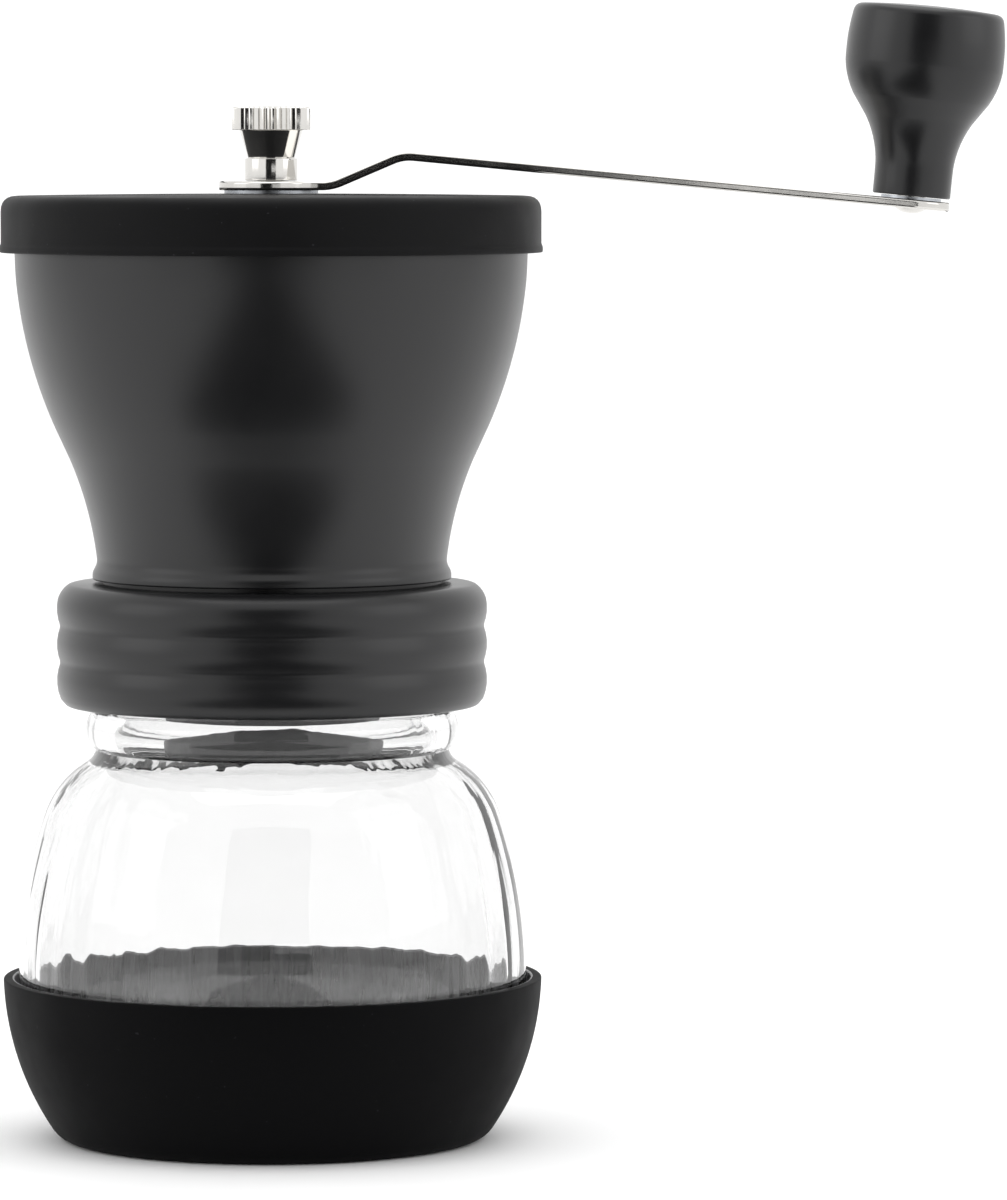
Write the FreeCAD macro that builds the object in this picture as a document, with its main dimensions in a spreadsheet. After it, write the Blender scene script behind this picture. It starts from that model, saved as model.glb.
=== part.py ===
import FreeCAD, Part
import math
import operator
import os
import Sketcher

# Hand crank coffee grinder. Millimetres, +Z up, +X towards the knob.
# The origin is the centre of the flat underside of the silicone boot.

Vector = FreeCAD.Vector
UP = Vector(0, 0, 1)
OPERATORS = {"+": operator.add, "-": operator.sub, "*": operator.mul, "/": operator.truediv}

# Driving dimensions: name, value, what it measures.
DIMENSIONS = [
    # Gaps
    ("seat_gap", 0.1, "play between pieces that stand on each other and move apart"),
    ("fit_gap", 0.35, "play between curved faces that slide past each other"),
    ("running_gap", 0.05, "radial play of a shaft in its bearing"),
    # Silicone boot
    ("boot_slack", 0.8, "room between glass and boot at the rim"),
    ("boot_spread", 1.05, "how far the boot's foot stands out from the jar's foot"),
    ("boot_rim_drop", 1.0, "how far the rim stays below the jar's widest place"),
    ("boot_bulge", 2.3, "how far the side stands out from its chord"),
    ("boot_rounding", 1.8, "radius between underside and side"),
    ("boot_wall", 1.9, "wall at the rim"),
    ("boot_floor", 2.5, "thickness under the jar"),
    ("boot_ring_width", 6.9, "flat ring between the groove and the edge of the underside"),
    ("boot_groove_width", 8.0, "groove in the underside"),
    ("boot_groove_depth", 0.6, "depth of that groove"),
    # Glass jar, heights above its own underside
    ("jar_height", 88.8, "underside to rim"),
    ("jar_wall", 2.7, "glass thickness"),
    ("jar_floor", 4.5, "glass thickness at the bottom"),
    ("jar_foot_radius", 35.85, "radius at the underside, before rounding"),
    ("jar_bulge", 2.3, "how far the lower side stands out from its chord"),
    ("jar_belly_radius", 43.9, "widest radius"),
    ("jar_belly_height", 26.4, "height of the widest place"),
    ("jar_shoulder_radius", 39.5, "radius where the shoulder starts"),
    ("jar_shoulder_height", 53.4, "height where the shoulder starts"),
    ("jar_belly_bulge", 1.1, "how far the belly stands out from its chord"),
    ("jar_shoulder_bulge", 1.5, "how far the shoulder stands out from its chord"),
    ("jar_neck_room", 2.65, "room between the neck and the flange of the burr carrier"),
    ("jar_waist_height", 63.6, "height of the narrowest place"),
    ("jar_bead", 1.45, "how far the bead stands out from its chord"),
    ("jar_bead_width", 7.0, "height of the bead"),
    ("jar_neck_step", 0.7, "how far the neck stands out from the waist"),
    ("thread_depth", 1.1, "how far the glass thread stands out"),
    ("thread_pitch", 4.0, "rise of the glass thread per turn"),
    ("thread_turns", 1.5, "turns of the glass thread"),
    # Ribbed collar
    ("seal_thickness", 1.8, "flat ring between glass rim and collar"),
    ("collar_height", 21.1, "height of the collar"),
    ("collar_wall", 3.65, "wall in the valleys"),
    ("collar_rib", 0.62, "how far a rib stands out"),
    ("collar_rounding", 2.4, "radius of the top and bottom edges"),
    ("collar_top", 3.0, "thickness of the top"),
    # Hopper, heights above the top of the collar
    ("hopper_wall", 2.2, "wall thickness"),
    ("hopper_foot_radius", 31.0, "radius of the lip at the foot"),
    ("hopper_foot_height", 1.9, "top of that lip"),
    ("hopper_groove_width", 0.7, "shadow gap under the lip"),
    ("hopper_groove_depth", 1.7, "depth of that gap"),
    ("hopper_waist_radius", 30.15, "narrowest radius"),
    ("hopper_waist_height", 3.5, "height of the narrowest place"),
    ("hopper_turn_radius", 36.1, "radius where the curve turns over"),
    ("hopper_turn_height", 24.2, "height where the curve turns over"),
    ("hopper_rim_radius", 44.2, "radius at the rim"),
    ("hopper_flare_height", 55.3, "height where the flare ends"),
    ("hopper_height", 64.9, "height of the rim"),
    ("hopper_hollow", 0.95, "how far the lower curve stands in from its chord"),
    ("hopper_bulge", 1.6, "how far the upper curve stands out from its chord"),
    ("throat_lip", 1.2, "how far the throat's edge covers the burr carrier's bore"),
    ("floor_thickness", 2.0, "hopper floor at the throat"),
    ("web_thickness", 3.0, "each web of the lower bearing"),
    ("web_height", 4.0, "height of each web"),
    ("hub_radius", 6.5, "lower and upper bearing hubs"),
    ("hub_below", 4.3, "how far the lower hub hangs under the hopper"),
    ("hub_above", 4.7, "how far the lower hub stands over the hopper's underside"),
    ("ledge_height", 5.5, "height of a bridge ledge"),
    ("ledge_width", 8.0, "width of a bridge ledge"),
    ("ledge_reach", 6.4, "how far a ledge stands in from the rim's inner radius"),
    ("ledge_drop", 10.7, "from the rim down to the top of a ledge"),
    # Bearing bridge
    ("bridge_thickness", 3.0, "thickness of an arm"),
    ("bridge_arm_width", 5.0, "width of an arm"),
    ("bridge_hub_drop", 3.6, "how far its hub hangs below the arms"),
    ("screw_radius", 1.45, "shank of the self-tapping screws"),
    ("screw_head_radius", 2.7, "head of the self-tapping screws"),
    ("screw_head_height", 1.8, "head of the self-tapping screws"),
    ("bridge_screw_length", 7.5, "shank length"),
    ("head_screw_length", 6.4, "shank length"),
    # Shaft and its bearings
    ("shaft_radius", 3.0, "journal"),
    ("shaft_flats", 4.8, "across the flats under the arm"),
    ("shaft_top_flats", 4.0, "across the flats in the arm"),
    ("stud_radius", 2.45, "threaded end for the thumb nut"),
    ("adjust_travel", 1.2, "how far the shaft rises from the coarsest to the finest setting"),
    ("bush_radius", 4.6, "outside of both bushes"),
    ("bush_flange_radius", 6.2, "flange of both bushes"),
    ("bush_flange", 1.0, "thickness of that flange"),
    ("washer_thickness", 0.8, "keyed thrust washer"),
    ("washer_radius", 6.2, "keyed thrust washer"),
    ("adjust_nut_radius", 7.8, "knurled adjusting nut"),
    ("adjust_nut_height", 3.8, "knurled adjusting nut"),
    ("lock_plate_radius", 8.8, "over its three tabs"),
    ("lock_plate_thickness", 1.0, "pressed plate"),
    # Burrs, heights above the underside of the burr carrier
    ("carrier_wall", 1.6, "wall of the cup"),
    ("carrier_depth", 23.9, "underside of the cup to the collar's top plate"),
    ("carrier_lip", 1.4, "thickness of the lip under the outer burr"),
    ("carrier_flange", 2.0, "thickness of the screw flange"),
    ("burr_height", 15.0, "outer burr"),
    ("burr_wall", 2.6, "outer burr at its foot"),
    ("burr_throat_height", 8.0, "height of the narrowest place of the outer burr"),
    ("burr_gap", 0.8, "radial gap between the burrs at the coarsest setting"),
    ("cone_foot_radius", 13.6, "inner burr at its foot"),
    ("cone_top_radius", 8.4, "inner burr at its top"),
    ("cone_height", 13.7, "inner burr"),
    ("cone_rise", 0.2, "foot of the inner burr over the underside of the carrier"),
    ("tooth_depth", 0.9, "depth of the burr teeth"),
    ("core_radius", 5.6, "plastic core of the inner burr"),
    ("spring_washer_thickness", 1.0, "washer under the spring"),
    ("spring_radius", 4.6, "mean radius of the coils"),
    ("spring_wire", 0.9, "wire diameter"),
    ("clip_thickness", 0.8, "retaining ring"),
    ("clip_radius", 4.8, "retaining ring"),
    # Lid
    ("lid_wall", 2.0, "wall of the skirt"),
    ("lid_skirt", 8.0, "inside depth of the skirt"),
    ("lid_plate", 1.7, "thickness of the top"),
    ("lid_crown", 0.35, "rise of the top at its centre"),
    ("lid_rounding", 2.2, "radius of the top edge"),
    ("lid_bead", 0.25, "how far the lower edge stands out"),
    ("lid_plug_depth", 2.6, "ring that enters the hopper"),
    ("lid_plug_wall", 1.8, "wall of that ring"),
    # Crank arm
    ("arm_thickness", 1.55, "steel strip"),
    ("arm_width", 13.2, "steel strip"),
    ("arm_hub_radius", 9.0, "round end over the shaft"),
    ("arm_washer_radius", 8.1, "washer under the arm"),
    ("arm_washer_thickness", 0.55, "washer under the arm"),
    ("first_bend", 10.5, "from the shaft to the lower bend"),
    ("second_bend", 22.7, "from the shaft to the upper bend"),
    ("arm_rise", 5.2, "height of the upper bend over the hub"),
    ("arm_slope", 5.43, "degrees that the long stretch falls"),
    ("knob_distance", 110.2, "from the shaft to the knob along +X"),
    ("bend_radius", 5.0, "middle of the strip"),
    # Knob, heights above its own underside
    ("knob_height", 32.2, "underside to the edge of the crown"),
    ("knob_stem_radius", 6.7, "straight stem"),
    ("knob_stem_height", 3.8, "straight stem"),
    ("knob_waist_bulge", 1.0, "how far the flare stands in from its chord"),
    ("knob_turn_radius", 10.4, "radius where the flare turns over"),
    ("knob_turn_height", 14.9, "height where the flare turns over"),
    ("knob_flare_bulge", 0.95, "how far the upper flare stands out"),
    ("knob_wide_radius", 13.65, "widest radius"),
    ("knob_wide_height", 24.6, "height of the widest place"),
    ("knob_top_radius", 12.75, "radius at the edge of the crown"),
    ("knob_rounding", 1.0, "radius of that edge"),
    ("knob_crown", 0.6, "rise of the crown"),
    ("knob_washer_radius", 5.2, "washer under the knob"),
    ("knob_washer_thickness", 0.45, "washer under the knob"),
    ("pin_radius", 2.5, "shank in the knob"),
    ("pin_neck_radius", 1.9, "neck through the arm"),
    ("pin_head_radius", 3.6, "head inside the knob"),
    ("pin_head_height", 3.0, "head inside the knob"),
    ("pin_length", 23.5, "shank in the knob"),
    ("rivet_radius", 2.7, "riveted end under the arm"),
    ("rivet_height", 0.9, "riveted end under the arm"),
    # Thumb nut, heights above the arm
    ("nut_stem_radius", 4.55, "plain part"),
    ("nut_stem_height", 3.9, "plain part"),
    ("nut_cone_radius", 5.5, "top of the cone"),
    ("nut_cone_height", 8.8, "top of the cone"),
    ("nut_head_radius", 6.75, "knurled head"),
    ("nut_height", 12.7, "top of the knurled head"),
    ("nut_crown", 0.4, "rise of the head at its centre"),
    ("nut_rounding", 0.4, "edges of the head"),
    ("knurl_depth", 0.35, "depth of the knurl"),
]

# Counts, and turns in degrees from the bottom of a groove to its top
OUTER_TEETH = 30
OUTER_TEETH_TURN = 8
OUTER_FEEDS = 6
OUTER_FEEDS_TURN = -12
INNER_TEETH = 28
INNER_TEETH_TURN = -8
INNER_FEEDS = 4
INNER_FEEDS_TURN = 50
NUT_KNURLS = 40
ADJUST_KNURLS = 24

# Shares of the space from one groove to the next that a groove takes up
KNURL_SHARE = 0.8
TOOTH_SHARE = 0.85
OUTER_FEED_SHARE = 1 / 3
INNER_FEED_SHARE = 1 / 2

# Width of the retaining ring's mouth, as a share of its inner diameter
MOUTH_SHARE = 0.8


class Size:
    """A length: its value, and the expression that binds it to the sheet."""

    def __init__(self, value, text):
        self.value = value
        self.text = text

    def __add__(self, other):
        return combine(self, other, "+")

    def __radd__(self, other):
        return combine(other, self, "+")

    def __sub__(self, other):
        return combine(self, other, "-")

    def __rsub__(self, other):
        return combine(other, self, "-")

    def __mul__(self, other):
        return combine(self, other, "*")

    def __rmul__(self, other):
        return combine(other, self, "*")

    def __truediv__(self, other):
        return combine(self, other, "/")

    def __neg__(self):
        return combine(0, self, "-")


def as_size(number):
    return number if isinstance(number, Size) else Size(float(number), str(number))


def combine(left, right, sign):
    left = as_size(left)
    right = as_size(right)
    value = OPERATORS[sign](left.value, right.value)
    return Size(value, f"({left.text} {sign} {right.text})")


def tangent(angle):
    return Size(math.tan(math.radians(angle.value)), f"tan({angle.text})")


def cosine(angle):
    return Size(math.cos(math.radians(angle.value)), f"cos({angle.text})")


def square_root(length):
    return Size(math.sqrt(length.value), f"sqrt({length.text})")


def crown_bulge(radius, rise):
    """How far half of a shallow dome stands out from its chord, so that it is level on the axis."""
    dome = (radius * radius + rise * rise) / (2 * rise)
    chord_squared = radius * radius + rise * rise
    return dome - square_root(dome * dome - chord_squared / 4)


def fill_sheet(document):
    """The spreadsheet with every driving dimension, and the sizes by name."""
    sheet = document.addObject("Spreadsheet::Sheet", "Sizes")
    sizes = {}
    for row, (alias, value, note) in enumerate(DIMENSIONS, start=1):
        sheet.set(f"A{row}", alias)
        sheet.set(f"B{row}", str(value))
        sheet.set(f"C{row}", note)
        sheet.setAlias(f"B{row}", alias)
        sizes[alias] = Size(value, f"Sizes.{alias}")
    document.recompute()
    return sizes


doc = FreeCAD.newDocument("CoffeeGrinder")
size = fill_sheet(doc)
nodes = {}


# Sketching and feature helpers

def bind(target, prop, length):
    target.setExpression(prop, as_size(length).text)


def new_body(label):
    body = doc.addObject("PartDesign::Body", label)
    body.Label = label
    nodes[label] = body
    return body


def new_sketch(body, name, role, height=0):
    """An empty sketch on one of the body's origin planes, or above it by height."""
    sketch = body.newObject("Sketcher::SketchObject", name)
    plane = next(item for item in body.Origin.OriginFeatures if item.Role == role)
    sketch.AttachmentSupport = [(plane, "")]
    sketch.MapMode = "FlatFace"
    bind(sketch, "AttachmentOffset.Base.z", height)
    return sketch


def pin_point(sketch, geometry, end, x, y):
    """Fixes one end of a line or arc at a place measured from the sketch's origin."""
    for kind, length in (("DistanceX", x), ("DistanceY", y)):
        length = as_size(length)
        index = sketch.addConstraint(Sketcher.Constraint(kind, -1, 1, geometry, end, length.value))
        sketch.setExpression(f"Constraints[{index}]", length.text)


def arc_side(start, end, stand_off):
    """Arc between two corners, and its radius. A positive stand_off is right of the way it runs."""
    run = (end[0] - start[0], end[1] - start[1])
    chord_squared = run[0] * run[0] + run[1] * run[1]
    rise = stand_off if stand_off.value > 0 else -stand_off
    radius = (chord_squared / 4 + rise * rise) / (2 * rise)
    chord = math.sqrt(chord_squared.value)
    middle = [(start[i].value + end[i].value) / 2 for i in (0, 1)]
    scale = stand_off.value / chord
    top = Vector(middle[0] + run[1].value * scale, middle[1] - run[0].value * scale, 0)
    inward = math.copysign((radius.value - rise.value) / chord, stand_off.value)
    centre = Vector(middle[0] - run[1].value * inward, middle[1] + run[0].value * inward, 0)
    first, last = (start, end) if stand_off.value > 0 else (end, start)
    angles = [math.atan2(p[1].value - centre.y, p[0].value - centre.x) for p in (first, last)]
    circle = Part.Circle(centre, UP, (top - centre).Length)
    return Part.ArcOfCircle(circle, angles[0], angles[1]), radius


def draw_loop(sketch, corners):
    """A closed outline. A corner is (x, y), or (x, y, stand_off) where an arc leaves it."""
    points = [tuple(as_size(value) for value in corner) for corner in corners]
    for number, start in enumerate(points):
        end = points[(number + 1) % len(points)]
        if len(start) == 3:
            arc, radius = arc_side(start, end, start[2])
            geometry = sketch.addGeometry(arc, False)
            first_end = 1 if start[2].value > 0 else 2
            pin_point(sketch, geometry, first_end, start[0], start[1])
            pin_point(sketch, geometry, 3 - first_end, end[0], end[1])
            index = sketch.addConstraint(Sketcher.Constraint("Radius", geometry, radius.value))
            sketch.setExpression(f"Constraints[{index}]", radius.text)
        else:
            low = Vector(start[0].value, start[1].value, 0)
            high = Vector(end[0].value, end[1].value, 0)
            geometry = sketch.addGeometry(Part.LineSegment(low, high), False)
            pin_point(sketch, geometry, 1, start[0], start[1])
            pin_point(sketch, geometry, 2, end[0], end[1])


def draw_circle(sketch, x, y, radius):
    radius = as_size(radius)
    centre = Vector(as_size(x).value, as_size(y).value, 0)
    geometry = sketch.addGeometry(Part.Circle(centre, UP, radius.value), False)
    pin_point(sketch, geometry, 3, x, y)
    index = sketch.addConstraint(Sketcher.Constraint("Radius", geometry, radius.value))
    sketch.setExpression(f"Constraints[{index}]", radius.text)


def revolve(body, name, corners, kind="PartDesign::Revolution"):
    """Turns an outline in the XZ plane about the body's Z axis."""
    sketch = new_sketch(body, f"{name}_outline", "XZ_Plane")
    draw_loop(sketch, corners)
    feature = body.newObject(kind, name)
    feature.Profile = sketch
    feature.ReferenceAxis = (sketch, ["V_Axis"])
    feature.Angle = 360
    doc.recompute()
    return feature


def turned_piece(label, corners):
    body = new_body(label)
    revolve(body, f"{label}_turned", corners)
    return body


def raise_pad(body, name, sketch, height):
    pad = body.newObject("PartDesign::Pad", name)
    pad.Profile = sketch
    bind(pad, "Length", height)
    doc.recompute()
    return pad


def cut_pocket(body, name, sketch, depth, upwards=True):
    """Cuts a sketch out of the body, upwards or downwards from its plane."""
    before = body.Shape.Volume
    pocket = body.newObject("PartDesign::Pocket", name)
    pocket.Profile = sketch
    pocket.Reversed = upwards
    bind(pocket, "Length", depth)
    doc.recompute()
    if body.Shape.Volume >= before:
        raise RuntimeError(f"{name} cuts nothing")
    return pocket


def repeat_round(body, name, feature, sketch, count):
    """Repeats a feature evenly about the body's Z axis."""
    pattern = body.newObject("PartDesign::PolarPattern", name)
    pattern.Originals = [feature]
    pattern.Axis = (sketch, ["N_Axis"])
    pattern.Angle = 360
    pattern.Occurrences = count
    body.Tip = pattern
    doc.recompute()
    return pattern


def round_edges(body, name, places, radius):
    """Rounds the circular edges at the given (radius, height) places."""
    base = body.Tip
    names = []
    for number, edge in enumerate(base.Shape.Edges, start=1):
        if edge.Degenerated or not isinstance(edge.Curve, Part.Circle):
            continue
        for place in places:
            across, height = [as_size(value).value for value in place]
            if abs(edge.Curve.Radius - across) < 1e-4 and abs(edge.Curve.Center.z - height) < 1e-4:
                names.append(f"Edge{number}")
    if len(names) != len(places):
        raise RuntimeError(f"{name} finds {len(names)} of {len(places)} edges")
    fillet = body.newObject("PartDesign::Fillet", name)
    fillet.Base = (base, names)
    bind(fillet, "Radius", radius)
    doc.recompute()
    return fillet


def cut_flatted_hole(body, name, radius, across_flats, low, depth):
    """A through hole with two flats across Y, for a shaft with flats."""
    half = as_size(across_flats) / 2
    side = square_root(radius * radius - half * half)
    bulge = radius - side
    sketch = new_sketch(body, f"{name}_outline", "XY_Plane", low)
    draw_loop(sketch, [(-side, -half), (side, -half, bulge), (side, half), (-side, half, bulge)])
    return cut_pocket(body, name, sketch, depth)


def flatted_prism(radius, across_flats, low, height):
    """A round bar with two flats across Y, as a solid."""
    bar = Part.makeCylinder(radius, height, Vector(0, 0, low))
    block = Part.makeBox(2 * radius, across_flats, height, Vector(-radius, -across_flats / 2, low))
    return bar.common(block)


def shaped_piece(label, shape, height=0):
    """A sub-part whose shape comes from solid operations, raised by height."""
    feature = doc.addObject("Part::Feature", label)
    feature.Label = label
    feature.Shape = shape
    feature.Placement = FreeCAD.Placement(Vector(0, 0, height), FreeCAD.Rotation())
    nodes[label] = feature
    return feature


def around(shape, count):
    """Copies of a solid, evenly about the Z axis."""
    copies = []
    for number in range(count):
        copy = shape.copy()
        copy.rotate(Vector(0, 0, 0), UP, 360 * number / count)
        copies.append(copy)
    return copies


# Radii that follow from the burrs outwards, so that what fits together keeps fitting

carrier_bore = size["cone_foot_radius"] + size["burr_gap"] + size["burr_wall"]
carrier_radius = carrier_bore + size["carrier_wall"]
throat_radius = carrier_bore - size["throat_lip"]
head_screw_circle = carrier_radius + size["screw_head_radius"] + 2 * size["fit_gap"]
carrier_flange_radius = head_screw_circle + size["screw_head_radius"] + size["fit_gap"]
neck_bore = carrier_flange_radius + size["jar_neck_room"]
waist_radius = neck_bore + size["jar_wall"]
neck_radius = waist_radius + size["jar_neck_step"]
collar_bore = neck_radius + size["thread_depth"] + 2 * size["fit_gap"]
collar_radius = collar_bore + size["collar_wall"]
boot_rim_radius = size["jar_belly_radius"] + size["boot_slack"] + size["boot_wall"]
boot_foot_radius = size["jar_foot_radius"] + size["boot_spread"]
lid_radius = size["hopper_rim_radius"] + size["fit_gap"] + size["lid_wall"]
bridge_screw_circle = size["hopper_rim_radius"] - size["hopper_wall"] - size["ledge_reach"] / 2


# Heights of the stack, from the floor up

jar_base = size["boot_floor"] + size["seat_gap"]
boot_rim = jar_base + size["jar_belly_height"] - size["boot_rim_drop"]
jar_rim = jar_base + size["jar_height"]
collar_ceiling = jar_rim + size["seat_gap"] + size["seal_thickness"]
collar_top = collar_ceiling + size["collar_top"]
collar_bottom = collar_top - size["collar_height"]
hopper_rim = collar_top + size["hopper_height"]
ledge_top = hopper_rim - size["ledge_drop"]
bridge_top = ledge_top + size["bridge_thickness"]
washer_base = bridge_top + size["bush_flange"] + size["seat_gap"]
nut_base = washer_base + size["washer_thickness"] + size["seat_gap"]
plate_base = nut_base + size["adjust_nut_height"] + size["fit_gap"]
lid_ceiling = hopper_rim + size["seat_gap"]
lid_top = lid_ceiling + size["lid_plate"] + size["lid_crown"]
arm_washer_base = lid_top + size["seat_gap"]
arm_base = arm_washer_base + size["arm_washer_thickness"]
arm_top = arm_base + size["arm_thickness"]
carrier_base = collar_ceiling - size["carrier_depth"]
hub_bottom = collar_top - size["hub_below"]
hub_top = collar_top + size["hub_above"]
cone_base = carrier_base + size["cone_rise"]
cone_top = cone_base + size["cone_height"]
spring_base = cone_top + size["spring_washer_thickness"]
spring_top = hub_bottom - size["bush_flange"]


# Silicone boot: one moulding that the jar stands in

def make_boot():
    foot = boot_foot_radius
    wall = size["boot_wall"]
    floor = size["boot_floor"]
    groove = foot - size["boot_ring_width"]
    pad = groove - size["boot_groove_width"]
    depth = size["boot_groove_depth"]
    body = turned_piece("base_boot", [
        (0, 0),
        (pad, 0),
        (pad, depth),
        (groove, depth),
        (groove, 0),
        (foot, 0, size["boot_bulge"]),
        (boot_rim_radius, boot_rim),
        (boot_rim_radius - wall, boot_rim, size["fit_gap"] - size["boot_bulge"]),
        (foot - size["fit_gap"], floor),
        (0, floor),
    ])
    round_edges(body, "boot_rounding_edge", [(foot, 0)], size["boot_rounding"])


# Glass jar: blown body, bead and threaded neck

def make_jar():
    wall = size["jar_wall"]
    foot = size["jar_foot_radius"]
    belly = size["jar_belly_radius"]
    belly_height = jar_base + size["jar_belly_height"]
    shoulder = size["jar_shoulder_radius"]
    shoulder_height = jar_base + size["jar_shoulder_height"]
    waist = waist_radius
    waist_height = jar_base + size["jar_waist_height"]
    neck = neck_radius
    bead_low = waist_height + size["thread_depth"]
    bead_high = bead_low + size["jar_bead_width"]
    inside_floor = jar_base + size["jar_floor"]
    body = turned_piece("jar", [
        (0, jar_base),
        (foot, jar_base, size["jar_bulge"]),
        (belly, belly_height, size["jar_belly_bulge"]),
        (shoulder, shoulder_height, size["jar_shoulder_bulge"]),
        (waist, waist_height),
        (waist, bead_low, size["jar_bead"]),
        (neck, bead_high),
        (neck, jar_rim),
        (neck_bore, jar_rim),
        (neck_bore, waist_height, -size["jar_shoulder_bulge"]),
        (shoulder - wall, shoulder_height, -size["jar_belly_bulge"]),
        (belly - wall, belly_height, -size["jar_bulge"]),
        (foot - wall, inside_floor),
        (0, inside_floor),
    ])
    round_edges(body, "jar_foot_rounding", [(foot, jar_base)], size["jar_wall"])
    round_edges(body, "jar_waist_rounding", [(waist, waist_height)], size["jar_wall"] / 2)
    round_edges(body, "jar_rim_rounding", [(neck, jar_rim), (neck_bore, jar_rim)], size["jar_wall"] / 4)
    add_jar_thread(body, neck, bead_high)


def add_jar_thread(body, neck, bead_high):
    """One rounded helical ridge between the bead and the rim."""
    depth = size["thread_depth"]
    half = size["thread_pitch"] / 3
    start = bead_high + half
    sketch = new_sketch(body, "jar_thread_outline", "XZ_Plane")
    draw_loop(sketch, [
        (neck - depth / 4, start - half),
        (neck + depth, start - half / 2),
        (neck + depth, start + half / 2),
        (neck - depth / 4, start + half),
    ])
    thread = body.newObject("PartDesign::AdditiveHelix", "jar_thread")
    thread.Profile = sketch
    thread.ReferenceAxis = (sketch, ["V_Axis"])
    thread.Mode = "pitch-turns-angle"
    bind(thread, "Pitch", size["thread_pitch"])
    bind(thread, "Turns", size["thread_turns"])
    doc.recompute()


def make_jar_seal():
    outside = collar_bore - size["fit_gap"]
    base = jar_rim + size["seat_gap"]
    turned_piece("jar_seal", [
        (neck_bore, base),
        (outside, base),
        (outside, collar_ceiling - size["seat_gap"] / 2),
        (neck_bore, collar_ceiling - size["seat_gap"] / 2),
    ])


# Ribbed collar: holds the jar's neck, three soft ribs for the grip

def make_collar():
    outside = collar_radius
    rib = size["collar_rib"]
    ribs = 3
    edge = size["collar_rounding"]
    band = (size["collar_height"] - edge) / ribs
    side = [(outside, collar_bottom + edge / 2 + band * number, rib) for number in range(ribs)]
    body = turned_piece("collar", [
        (collar_bore, collar_bottom),
        (outside - edge / 3, collar_bottom),
        *side,
        (outside, collar_top - edge / 2),
        (outside - edge / 2, collar_top),
        (throat_radius, collar_top),
        (throat_radius, collar_ceiling),
        (collar_bore, collar_ceiling),
    ])
    round_edges(body, "collar_top_rounding", [(outside - edge / 2, collar_top)], edge / 2)
    drill_round(body, "collar_screw_hole", head_screw_circle, collar_ceiling,
                size["screw_radius"] + size["running_gap"], size["collar_top"])


def drill_round(body, name, circle, low, radius, depth):
    """Three through holes on a circle about the Z axis."""
    sketch = new_sketch(body, f"{name}_outline", "XY_Plane", low)
    draw_circle(sketch, circle, 0, radius)
    hole = cut_pocket(body, name, sketch, depth)
    repeat_round(body, f"{name}_pattern", hole, sketch, 3)


# Hopper: tulip shell, floor, lower bearing hub on three webs, ledges for the bridge

def make_hopper():
    wall = size["hopper_wall"]
    rim = size["hopper_rim_radius"]
    turn = size["hopper_turn_radius"]
    waist = size["hopper_waist_radius"]
    foot = size["hopper_foot_radius"]
    throat = throat_radius
    flare_height = collar_top + size["hopper_flare_height"]
    turn_height = collar_top + size["hopper_turn_height"]
    waist_height = collar_top + size["hopper_waist_height"]
    groove_top = collar_top + size["hopper_groove_width"]
    body = turned_piece("hopper", [
        (throat, collar_top),
        (foot - size["hopper_groove_depth"], collar_top),
        (foot - size["hopper_groove_depth"], groove_top),
        (foot, groove_top),
        (foot, collar_top + size["hopper_foot_height"]),
        (waist, waist_height, -size["hopper_hollow"]),
        (turn, turn_height, size["hopper_bulge"]),
        (rim, flare_height),
        (rim, hopper_rim),
        (rim - wall, hopper_rim),
        (rim - wall, flare_height, -size["hopper_bulge"]),
        (turn - wall, turn_height, size["hopper_hollow"]),
        (waist - wall, waist_height + wall),
        (throat, collar_top + size["floor_thickness"]),
    ])
    hub = new_sketch(body, "lower_hub_outline", "XY_Plane", hub_bottom)
    draw_circle(hub, 0, 0, size["hub_radius"])
    raise_pad(body, "lower_hub", hub, hub_top - hub_bottom)
    web = new_sketch(body, "web_outline", "XY_Plane", collar_top)
    half_web = size["web_thickness"] / 2
    web_end = throat + half_web
    draw_loop(web, [(0, -half_web), (web_end, -half_web), (web_end, half_web), (0, half_web)])
    web_pad = raise_pad(body, "web", web, size["web_height"])
    repeat_round(body, "webs", web_pad, web, 3)
    bore = new_sketch(body, "lower_hub_bore_outline", "XY_Plane", hub_bottom)
    draw_circle(bore, 0, 0, size["bush_radius"])
    cut_pocket(body, "lower_hub_bore", bore, hub_top - hub_bottom)
    ledge = new_sketch(body, "ledge_outline", "XY_Plane", ledge_top - size["ledge_height"])
    half_ledge = size["ledge_width"] / 2
    inner = rim - wall - size["ledge_reach"]
    outer = rim - wall / 2
    draw_loop(ledge, [(inner, -half_ledge), (outer - wall / 2, -half_ledge), (outer - wall / 2, half_ledge),
                      (inner, half_ledge)])
    ledge_pad = raise_pad(body, "ledge", ledge, size["ledge_height"])
    repeat_round(body, "ledges", ledge_pad, ledge, 3)
    drill_round(body, "head_screw_hole", head_screw_circle, collar_top,
                size["screw_radius"] + size["running_gap"], size["floor_thickness"])
    drill_round(body, "ledge_hole", bridge_screw_circle, ledge_top - size["ledge_height"],
                size["screw_radius"] + size["running_gap"], size["ledge_height"])


# Bearing bridge: three arms across the hopper with the upper bearing hub

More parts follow.
